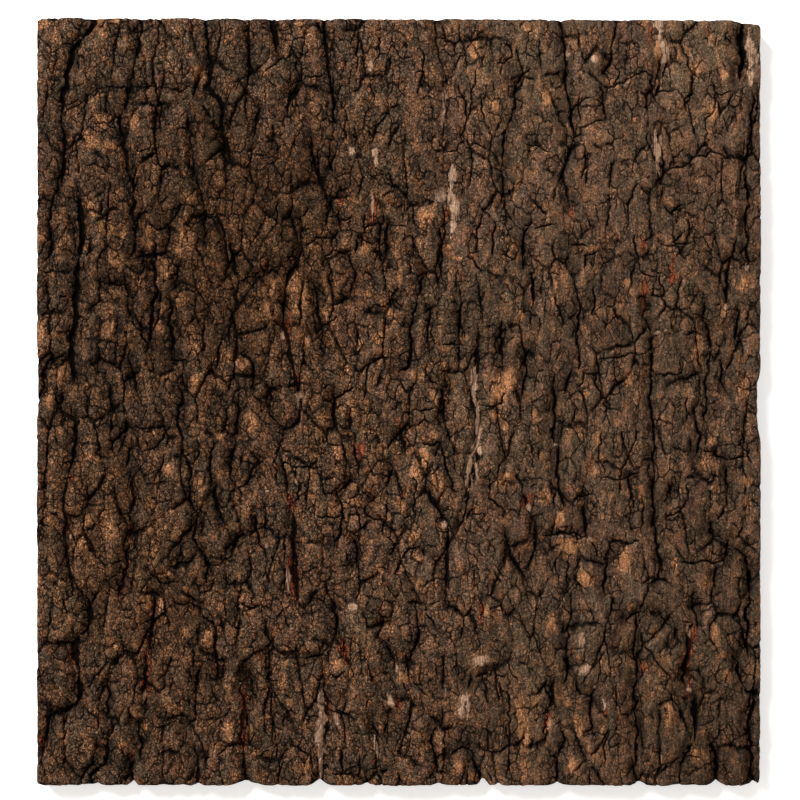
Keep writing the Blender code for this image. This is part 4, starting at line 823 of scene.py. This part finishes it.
def grow(x, y, mark):
    """The crust's fields from a place in millimetres and the listed marks."""
    sway_x = x.noise(y, *SWAY, seed=1) - 0.5
    sway_y = x.noise(y, *SWAY, seed=2) - 0.5
    jag_x = x.noise(y, *JAG, seed=3, detail=4, roughness=0.65) - 0.5
    jag_y = x.noise(y, *JAG, seed=4, detail=4, roughness=0.65) - 0.5
    wide_x = x + sway_x * 14 + jag_x * 5
    wide_y = y + sway_y * 16 + jag_y * 6
    plate_edge, plate, plate_off = wide_x.cells(wide_y, *PLATE, seed=5)
    chip_edge, chip, chip_off = wide_x.cells(wide_y, *CHIP, seed=6)
    shard_edge, shard, shard_off = (x + jag_x * 3).cells(y + jag_y * 3, *SHARD, seed=15)
    smooth_side = x.ramp(SMOOTH_FROM, SMOOTH_TO)
    open_here = x.noise(y, 24, 34, seed=8).ramp(0.44, 0.56)
    chip_open = (x.noise(y, 15, 20, seed=9) - smooth_side * 0.04).ramp(0.4, 0.54)
    shard_open = (x.noise(y, 11, 15, seed=28) - x.ramp(-100, 140) * 0.07).ramp(0.42, 0.52)
    grit = x.noise(y, *GRIT, seed=13, detail=4, roughness=0.65)
    lump = x.noise(y, *LUMP, seed=14, detail=4, roughness=0.6)
    loose = mark["furrow_gap"] + (chip[0] - 0.5) * 3.5 + (lump - 0.5) * 7
    torn = mark["furrow_gap"] + (shard[0] - 0.5) * 1.2 + (grit - 0.5) * 2.4
    line = mark["furrow_half"] - mark["furrow_side"].math("ABSOLUTE") + (grit - 0.5) * 1.4
    thin = mark["crack_half"] * 1.1 - mark["crack_side"].math("ABSOLUTE") + (grit - 0.5) * 0.9
    grown = {
        "plate": plate, "plate_edge": plate_edge, "plate_off": plate_off,
        "chip": chip, "chip_edge": chip_edge, "chip_off": chip_off,
        "shard": shard, "shard_off": shard_off,
        "smooth_side": smooth_side, "grit": grit, "lump": lump,
        "bank": loose.ramp(mark["furrow_deep"] * 0.75 + 3.0, 0.0),
        "core": torn.ramp(0.6, -0.7),
        "line": line.ramp(-0.25, 0.25) * mark["furrow_gap"].ramp(2.2, 1.0),
        "split": thin.ramp(-0.3, 0.25) * mark["crack_gap"].ramp(1.6, 0.7),
        "groove": (mark["crack_gap"] + (grit - 0.5) * 1.5).ramp(1.1, -0.3),
        "plate_crack": plate_edge.ramp(1.2, 0.25) * open_here,
        "chip_crack": (chip_edge / (chip_open * 0.6 + 0.2)).ramp(1.0, 0.3) * chip_open,
        "shard_crack": shard_edge.ramp(0.5, 0.12) * shard_open,
        "fibre": x.noise(y, *FIBRE, seed=12, detail=3, roughness=0.62),
        "ridge": (x + sway_x * 30).noise(y, *RIDGE, seed=16, detail=3, roughness=0.6),
    }
    ragged = (chip[1] - 0.5) * 0.35 + (lump - 0.5) * 0.9 + (grit - 0.5) * 0.7
    for name in ("tan", "rust"):
        grown[name] = (mark[name] + ragged).ramp(-0.05, 0.5)
    streak = mark["streak_half"] * 1.1 - mark["streak_side"].math("ABSOLUTE") + (grit - 0.5) * 2.4
    streak = streak.ramp(-0.3, 0.3) * mark["streak_gap"].ramp(2.2, 1.0)
    red = mark["streak_kind"].ramp(1.2, 1.8)
    grown["cream"] = (mark["cream"] + ragged * 0.5).ramp(-0.1, 0.3).most(streak * (1.0 - red))
    grown["rust"] = grown["rust"].most(streak * red)
    return grown


def crust_depth(g, mark):
    """How far the crust lies below its crown, in millimetres."""
    rugged = 1.2 - g["smooth_side"] * 0.6
    plate, chip, shard = g["plate"], g["chip"], g["shard"]
    lean = g["plate_off"][0] * (plate[1] - 0.5) * 4.4 + g["plate_off"][1] * (plate[2] - 0.5) * 3.4
    plates = (plate[0] * PLATE_DROP + lean + g["plate_edge"].ramp(3.6, 0.0) * 1.2) * rugged
    chip_lean = g["chip_off"][0] * (chip[1] - 0.5) * 1.8 + g["chip_off"][1] * (chip[2] - 0.5) * 1.6
    chips = (chip[0] * CHIP_DROP + chip_lean + g["chip_edge"].ramp(1.6, 0.0) * 0.3) * rugged
    shards = ((shard[0] - 0.3) * SHARD_DROP + g["shard_off"][0] * (shard[1] - 0.5)) * rugged
    cracks = g["plate_crack"] * PLATE_CRACK_DEPTH + g["chip_crack"] * CHIP_CRACK_DEPTH
    cracks = cracks.most(g["groove"] * mark["crack_deep"] * 0.5)
    texture = (0.5 - g["grit"]) + (0.5 - g["lump"]) * 1.6
    texture = texture + (0.5 - g["fibre"]) * (0.6 + g["smooth_side"] * 1.2)
    texture = texture + (0.5 - g["ridge"]) * (1.5 + g["smooth_side"] * 3.5)
    valley = mark["furrow_deep"] * (g["bank"] * BANK_SHARE + g["core"] * (1.0 - BANK_SHARE))
    flat = 1.0 - g["core"] * 0.5
    return (plates + chips) * flat + shards + texture + cracks + valley + g["tan"] * 0.5 + CROWN_GAP


def growth_tree():
    """Sets each point's height: the crust's own on top, shares of it down the sawn sides."""
    tree = bpy.data.node_groups.new("growth", "GeometryNodeTree")
    sockets = tree.interface
    sockets.new_socket("Blank", in_out="INPUT", socket_type="NodeSocketGeometry")
    sockets.new_socket("Crown", in_out="INPUT", socket_type="NodeSocketFloat")
    sockets.new_socket("Least bark", in_out="INPUT", socket_type="NodeSocketFloat")
    sockets.new_socket("Rim wear", in_out="INPUT", socket_type="NodeSocketFloat")
    sockets.new_socket("Finish", in_out="INPUT", socket_type="NodeSocketMaterial")
    sockets.new_socket("Bark", in_out="OUTPUT", socket_type="NodeSocketGeometry")
    source = tree.nodes.new("NodeGroupInput")
    blank, crown, least, wear, finish = (Wire(tree, socket) for socket in source.outputs[:5])
    place = blank.node("GeometryNodeInputPosition")
    x, y, _ = (part * (1 / MM) for part in place.parts())

    def named(name):
        return blank.node("GeometryNodeInputNamedAttribute", {"Name": name}, data_type="FLOAT")

    mark = {name: named(name) for name in MARKS}
    depth = crust_depth(grow(x, y, mark), mark)
    height = crown - depth - wear * named("inset").ramp(4.0, -0.5)
    height = height.most(least + depth * 0.12).least(crown)
    level = named("level")
    side = level.most(0.0) * (height - FOOT_HEIGHT) + FOOT_HEIGHT
    groove = x.noise(y, 5, 60, seed=20, detail=3, roughness=0.6).ramp(0.5, 0.72) * 0.45
    back = groove * named("inset").ramp(3.0, 9.0)
    on_back = level.ramp(-0.2, -0.8)
    z = (side * (1.0 - on_back) + back * on_back) * MM
    lift = z.node("ShaderNodeCombineXYZ", {2: z})
    moved = blank.node("GeometryNodeSetPosition", {"Geometry": blank, "Offset": lift})
    moved = moved.node("GeometryNodeRealizeInstances", {"Geometry": moved})
    moved = moved.node("GeometryNodeSetMaterial", {"Geometry": moved, "Material": finish})
    target = tree.nodes.new("NodeGroupOutput")
    tree.links.new(moved.socket, target.inputs["Bark"])
    return tree


# --------------------------------------------------------------------------------------------
# The finish: dry grey-brown crust with painted shade in its cracks and hollows, warmer where chips
# have come away and rust-red in the furrows, with brown cork on the sawn sides and the back. No gloss.
# --------------------------------------------------------------------------------------------
CRUMB = (0.85, 1.2)
GRAIN = (0.65, 0.85)
SPECKLE = (3.0, 4.2)
MOTTLE = (8, 17)
BROAD = (60, 90)
STRAND = (0.8, 9)


def colour(red, green, blue):
    """An 8-bit screen colour as the linear colour that a shader takes."""
    share = np.array([red, green, blue]) / 255
    linear = np.where(share <= 0.04045, share / 12.92, ((share + 0.055) / 1.055) ** 2.4)
    return (*linear, 1.0)


GREY_CRUST, BROWN_CRUST, RUSSET, OLIVE = (
    colour(92, 76, 62), colour(106, 78, 61), colour(98, 68, 42), colour(84, 67, 46))
DARK_CHIP, SOOT, ORANGE_FLECK = colour(68, 53, 42), colour(58, 46, 38), colour(130, 86, 56)
OCHRE = (colour(118, 83, 58), colour(146, 109, 80))
OLD_FLAKE = (colour(108, 77, 54), colour(136, 101, 74))
TAN_CORK = (colour(134, 88, 58), colour(166, 122, 86))
RED_CORK = (colour(92, 32, 20), colour(156, 84, 52))
DEEP_CORK = (colour(34, 16, 9), colour(70, 42, 28))
PALE_CORK = (colour(146, 108, 84), colour(200, 170, 144))
SAWN_LAYER = (colour(92, 60, 40), colour(140, 98, 66))
SAWN_PORE, SAWN_STAIN, SAWN_RIM = colour(66, 40, 27), colour(104, 58, 34), colour(64, 48, 38)
BACK_FIBRE = (colour(102, 66, 45), colour(152, 109, 77))
BACK_STAIN, BACK_PIT = colour(94, 58, 39), colour(58, 36, 26)


def blend(share, under, over):
    """The colour under, with over laid on it by share."""
    return share.node("ShaderNodeMix", {0: share, 6: under, 7: over}, output=2,
                      data_type="RGBA", clamp_factor=True)


def shade(tone, base):
    """A colour made lighter or darker all over by a number."""
    return tone.node("ShaderNodeVectorMath", {0: base, "Scale": tone}, operation="SCALE")


def bark_finish():
    """The one material of the slab: crust, sawn sides and back, by its marks and its height."""
    material = bpy.data.materials.new("bark")
    material.use_nodes = True
    tree = material.node_tree
    shader = tree.nodes["Principled BSDF"]
    shader.inputs["Specular IOR Level"].default_value = 0.05
    origin = Wire(tree, tree.nodes.new("ShaderNodeTexCoord").outputs["Object"])
    x, y, z = (part * (1 / MM) for part in origin.parts())

    def named(name):
        return origin.node("ShaderNodeAttribute", output=2, attribute_name=name)

    mark = {name: named(name) for name in (*MARKS, "painted_relief_shade", "sawn", "level")}
    g = grow(x, y, mark)
    crumb_x = x + (g["grit"] - 0.5) * 3
    crumb_edge, crumb, _ = crumb_x.cells(y + (g["lump"] - 0.5) * 3, *CRUMB, seed=21)
    grain = x.noise(y, *GRAIN, seed=22, roughness=0.7).ramp(0.3, 0.7)
    broad = x.noise(y, *BROAD, seed=23, detail=3)
    mottle = x.noise(y, *MOTTLE, seed=25, detail=4, roughness=0.65)
    speckle = x.noise(y, *SPECKLE, seed=26, detail=3, roughness=0.6)
    strand = x.noise(y, *STRAND, seed=24, detail=3, roughness=0.65)

    # The grey crust, cooler on the right side, mottled with red-brown and olive
    warm = ((mottle - 0.5) * 2.6 + (broad - 0.5) * 1.6 + (g["chip"][2] - 0.5) * 0.9
            + (speckle - 0.5) * 0.6 + (crumb[1] - 0.5) * 0.9 + 0.46 - g["smooth_side"] * 0.16).ramp(0.0, 1.0)
    crust = blend(warm, GREY_CRUST, BROWN_CRUST)
    crust = blend((mark["brown"] + (mottle - 0.5) * 0.8).ramp(0.0, 0.9) * 0.7, crust, RUSSET)
    crust = blend((broad + mottle * 0.7).ramp(0.9, 0.76) * 0.3, crust, OLIVE)
    crust = blend((g["chip"][0] + (speckle - 0.5) * 1.4).ramp(0.55, 1.0) * 0.55, crust, DARK_CHIP)
    worn_off = mottle + (speckle - 0.5) * 0.3 + (crumb[2] - 0.5) * 0.3
    crust = blend(worn_off.ramp(0.58, 0.72) * 0.55, crust, blend(strand, *OCHRE))
    fleck = g["shard"][2] + (mottle - 0.5) * 0.9 + mark["brown"] * 0.12 - g["smooth_side"] * 0.16
    crust = blend(fleck.ramp(0.72, 0.88) * 0.5, crust, ORANGE_FLECK)
    flake = (g["chip"][1] + (mottle - 0.5) * 1.3).ramp(0.76, 0.86)
    crust = blend(flake * 0.5, crust, blend(strand, *OLD_FLAKE))
    soot = (g["shard"][1] + (speckle - 0.5) * 0.9).ramp(0.82, 0.96)
    crust = blend(soot * 0.45, crust, SOOT)
    tan = blend(strand.ramp(0.3, 0.7) * 0.6 + speckle * 0.4, *TAN_CORK)
    crust = blend(g["tan"] * 0.92, crust, tan)
    crust = blend(g["core"] * 0.8, crust, blend(strand.ramp(0.35, 0.6), *DEEP_CORK))
    crust = blend(g["rust"] * 0.8, crust, blend(strand.ramp(0.35, 0.65), *RED_CORK))
    crust = blend(g["cream"] * 0.85, crust, blend(strand.ramp(0.3, 0.7), *PALE_CORK))

    # Its light and dark: crumbs, then painted shade in cracks, furrows, banks and hollows, and painted light
    # on crests
    # Painted light and shade: the ridge term lightens the crests of the long ridges and darkens the valleys
    # between them
    tone = (1.02 + (speckle - 0.5) * 0.26 + (g["grit"] - 0.5) * 0.3 + (g["plate"][2] - 0.5) * 0.36
            + (g["ridge"] - 0.5) * (0.2 + g["smooth_side"] * 0.7)
            + (g["chip"][1] - 0.5) * 0.2 + (strand - 0.5) * (0.5 + g["smooth_side"] * 0.9)
            + (mottle - 0.5) * 0.5 + mark["light"])
    crumbs = (0.42 + crumb[0] ** 1.6 * 1.5 + crumb[1].ramp(0.9, 0.95) * 0.35) * (0.44 + grain * 1.12)
    crumbs = crumbs * (1.0 - crumb_edge.ramp(0.22, 0.04) * 0.4)
    crumbs = 1.0 + (crumbs - 1.0) * (1.16 - g["smooth_side"] * 0.34)
    tone = tone * (crumbs + (1.0 - crumbs) * g["tan"] * 0.2) * (1.0 + g["tan"] * 0.16)
    worn = g["chip_edge"].ramp(1.7, 0.8) * 0.14 + mark["crack_gap"].ramp(1.6, 0.5) * 0.14
    # Painted shade on the furrow banks, where the crust slopes down into a furrow
    tone = tone * (0.95 + worn) * (1.0 - g["bank"] * 0.26)
    # Painted shade: plate, chip and shard cracks, crack lines and furrow lines are darkened for the shade in
    # splits too narrow for the mesh; the furrow floor is a little darker cork
    tone = tone * (1.0 - g["plate_crack"] * 0.82) * (1.0 - g["chip_crack"] * 0.82)
    tone = tone * (1.0 - g["split"] * 0.9) * (1.0 - g["line"] * 0.85) * (1.0 - g["core"] * 0.25)
    tone = tone * (1.0 - g["shard_crack"] * 0.75)
    # Painted shade in hollows below the crust around them, and painted light on places that stand above it
    tone = tone * (1.0 - mark["painted_relief_shade"].ramp(0.0, 1.1) * 0.42) + mark["painted_relief_shade"].ramp(0.0, -1.0) * 0.14
    tone = tone + (1.1 - tone) * g["cream"] * 0.6
    crust = shade(tone.most(0.03), crust)

    # The sawn sides: brown cork in thin layers, pitted with pores, under the dark crust
    layer = x.node("ShaderNodeTexNoise", {"Vector": origin.node(
        "ShaderNodeCombineXYZ", {0: x / 14, 1: y / 14, 2: z / 0.9}), "Detail": 4.0}).ramp(0.3, 0.7)
    pore = x.node("ShaderNodeTexNoise", {"Vector": origin.node(
        "ShaderNodeCombineXYZ", {0: x / 1.6, 1: y / 1.6, 2: z / 5}), "Detail": 4.0}).ramp(0.35, 0.7)
    side = blend(layer, *SAWN_LAYER)
    side = blend(pore * 0.6, side, SAWN_PORE)
    side = blend(mottle.ramp(0.45, 0.65) * 0.5, side, SAWN_STAIN)
    worn_side = mark["level"] + (pore - 0.5) * 0.3 + (g["lump"] - 0.5) * 0.5
    side = blend(worn_side.ramp(0.55, 0.85) * 0.9, side, SAWN_RIM)
    side = shade(0.55 + grain * 0.55 + crumb[0] * 0.25, side)

    # The back: brown inner cork with its grain along the trunk, dark pits, and saw marks across
    fibre = x.noise(y, 0.9, 26, seed=32, detail=4)
    pit = x.noise(y, 1.5, 4, seed=33)
    saw_mark = x.noise(y, 260, 2.2, seed=34, detail=3)
    back = blend(fibre.ramp(0.32, 0.68), *BACK_FIBRE)
    back = blend((broad + (mottle - 0.5) * 0.6).ramp(0.35, 0.75) * 0.5, back, BACK_STAIN)
    back = blend(pit.ramp(0.62, 0.72) * 0.75, back, BACK_PIT)
    back = shade(0.86 + (saw_mark - 0.5) * 0.5 + grain * 0.2, back)
    skin = blend(mark["sawn"].ramp(0.9, 0.98), crust, side)
    skin = blend(z.ramp(1.0, 0.6), skin, back)
    tree.links.new(skin.socket, shader.inputs["Base Color"])

    rough = 0.86 + (grain - 0.5) * 0.14 - g["tan"] * 0.06
    tree.links.new(rough.socket, shader.inputs["Roughness"])

    relief = crumb_edge.ramp(0.0, 0.4) * 0.1 + crumb[0] * 0.2 + (g["grit"] - 0.5) * 0.25 + grain * 0.25
    relief = relief + (strand - 0.5) * (0.4 + g["core"] * 0.6 + g["smooth_side"] * 0.5)
    relief = relief - g["chip_crack"] * 0.7 - g["split"] * 1.2 - g["line"] * 0.8 - g["shard_crack"] * 0.5
    relief = relief + g["shard"][0] * 0.15 + pore * 0.2
    bump = relief.node("ShaderNodeBump", {"Height": relief, "Distance": 1.1 * MM, "Strength": 1.0})
    tree.links.new(bump.socket, shader.inputs["Normal"])
    return material


# --------------------------------------------------------------------------------------------
# The bark itself: the blank with its crust grown in, thinned where the crust is plain, and
# marked again at the points that are left.
# --------------------------------------------------------------------------------------------
TRIANGLES = 188000
# How wide an area the hollows are measured against, and the depth that counts as a full hollow, for the
# painted shade
HOLLOW_REACH = 7.0
HOLLOW_DEPTH = 3.0
CLEARANCE = 0.05
SAWN_BAND = 0.4
CORNER_BAND = 1.6


def applied(piece):
    """The piece's mesh with its modifiers' work done; the modifiers are then removed."""
    graph = bpy.context.evaluated_depsgraph_get()
    mesh = bpy.data.meshes.new_from_object(piece.evaluated_get(graph))
    piece.modifiers.clear()
    piece.data = mesh
    return mesh


def points_of(mesh):
    """A mesh's points in millimetres."""
    flat = np.empty(len(mesh.vertices) * 3, dtype=np.float32)
    mesh.vertices.foreach_get("co", flat)
    return flat.reshape(-1, 3).astype(float) / MM


def box_blur(field, reach):
    """A field averaged over a square window, twice, which is close to a soft round one."""
    for _ in range(2):
        for axis in (0, 1):
            padded = np.concatenate([np.repeat(field.take([0], axis), reach + 1, axis), field,
                                     np.repeat(field.take([-1], axis), reach, axis)], axis)
            total = np.cumsum(padded, axis)
            span = 2 * reach + 1
            count = field.shape[axis]
            field = (total.take(range(span, span + count), axis)
                     - total.take(range(count), axis)) / span
    return field


finish = bark_finish()
bark = make_blank()
growth = bark.modifiers.new("growth", "NODES")
growth.node_group = growth_tree()
sizes = {"Crown": float(CROWN), "Least bark": 9.0, "Rim wear": 1.6, "Finish": finish}
for item in growth.node_group.interface.items_tree:
    if item.name in sizes:
        growth[item.identifier] = sizes[item.name]
grown_mesh = applied(bark)
heights = points_of(grown_mesh)[: (COLUMNS + 1) * (ROWS + 1), 2].reshape(ROWS + 1, COLUMNS + 1)

thinning = bark.modifiers.new("thinning", "DECIMATE")
thinning.ratio = TRIANGLES / (2 * len(grown_mesh.polygons))
mesh = applied(bark)
inner = low + CLEARANCE
place = np.clip(points_of(mesh), [inner[0], inner[1], 0], [-inner[0], -inner[1], CROWN])
mesh.vertices.foreach_set("co", (place * MM).astype(np.float32).ravel())
mesh.update()
x, y, z = place.T
left, right, bottom, top = rim_lines(x, y)
across = np.clip((x - left) / (right - left), 0, 1) * COLUMNS
along = np.clip((y - bottom) / (top - bottom), 0, 1) * ROWS
i = np.clip(across.round().astype(int), 0, COLUMNS)
j = np.clip(along.round().astype(int), 0, ROWS)
# The mark for painted shade and light: how far each point lies below the crust around it, negative where it
# stands above
around = box_blur(heights, int(HOLLOW_REACH / GRID_STEP))
inset = np.minimum.reduce([x - left, right - x, y - bottom, top - y])
marks = {name: read_raster(field, x, y) for name, field in MARKS.items()}
marks["painted_relief_shade"] = np.clip((around[j, i] - heights[j, i]) / HOLLOW_DEPTH, -1, 1)
facing = np.empty(len(mesh.vertices) * 3, dtype=np.float32)
mesh.vertices.foreach_get("normal", facing)
from_corner = np.maximum(np.minimum(x - left, right - x), np.minimum(y - bottom, top - y))
on_corner = (from_corner < CORNER_RADIUS) & (inset < CORNER_BAND) & (np.abs(facing[2::3]) < 0.5)
marks["sawn"] = ((inset < SAWN_BAND) | on_corner).astype(float)
marks["level"] = z / heights[j, i]
for name in [attribute.name for attribute in mesh.attributes if attribute.name in marks]:
    mesh.attributes.remove(mesh.attributes[name])
write_marks(mesh, marks)
mesh.shade_smooth()
mesh.set_sharp_from_angle(angle=1.1)
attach(bark, "root")
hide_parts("bark")

# --------------------------------------------------------------------------------------------
# The studio: a white table, one broad soft light from the upper left, even light from all
# round, and a long lens straight above the slab.
# --------------------------------------------------------------------------------------------
TABLE_HALF = 30.0
table_mesh = bpy.data.meshes.new("table")
corners = [(-TABLE_HALF, -TABLE_HALF, 0), (TABLE_HALF, -TABLE_HALF, 0),
           (TABLE_HALF, TABLE_HALF, 0), (-TABLE_HALF, TABLE_HALF, 0)]
table_mesh.from_pydata(corners, [], [(0, 1, 2, 3)])
glow = bpy.data.materials.new("light table")
glow.use_nodes = True
glow_shader = glow.node_tree.nodes["Principled BSDF"]
glow_shader.inputs["Base Color"].default_value = (0.9, 0.9, 0.9, 1)
glow_shader.inputs["Roughness"].default_value = 0.9
glow_shader.inputs["Emission Color"].default_value = (0.84, 0.94, 1, 1)
glow_shader.inputs["Emission Strength"].default_value = 0.5
table_mesh.materials.append(glow)
table = bpy.data.objects.new("table", table_mesh)
table.location.z = -0.0004
bpy.context.scene.collection.objects.link(table)

lamp = bpy.data.lights.new("key", "AREA")
lamp.shape = "SQUARE"
lamp.size = 0.95
lamp.energy = 112
key = bpy.data.objects.new("key", lamp)
key.location = (-1.3, 1.4, 1.95)
key.rotation_euler = (-key.location).to_track_quat("-Z", "Y").to_euler()
bpy.context.scene.collection.objects.link(key)
world = bpy.data.worlds.new("studio")
world.use_nodes = True
world.node_tree.nodes["Background"].inputs["Color"].default_value = (1, 0.84, 0.71, 1)
world.node_tree.nodes["Background"].inputs["Strength"].default_value = 0.6
bpy.context.scene.world = world
bpy.context.scene.view_settings.view_transform = "Standard"

FRAMED = 0.605
LENS = 100
SENSOR = 36
AIM = (0.00095, 0.0011, 0.016)
camera_data = bpy.data.cameras.new("camera")
camera_data.lens = LENS
camera_data.sensor_width = SENSOR
camera = bpy.data.objects.new("camera", camera_data)
camera.location = (AIM[0], AIM[1], AIM[2] + FRAMED * LENS / SENSOR)
bpy.context.scene.collection.objects.link(camera)
bpy.context.scene.camera = camera
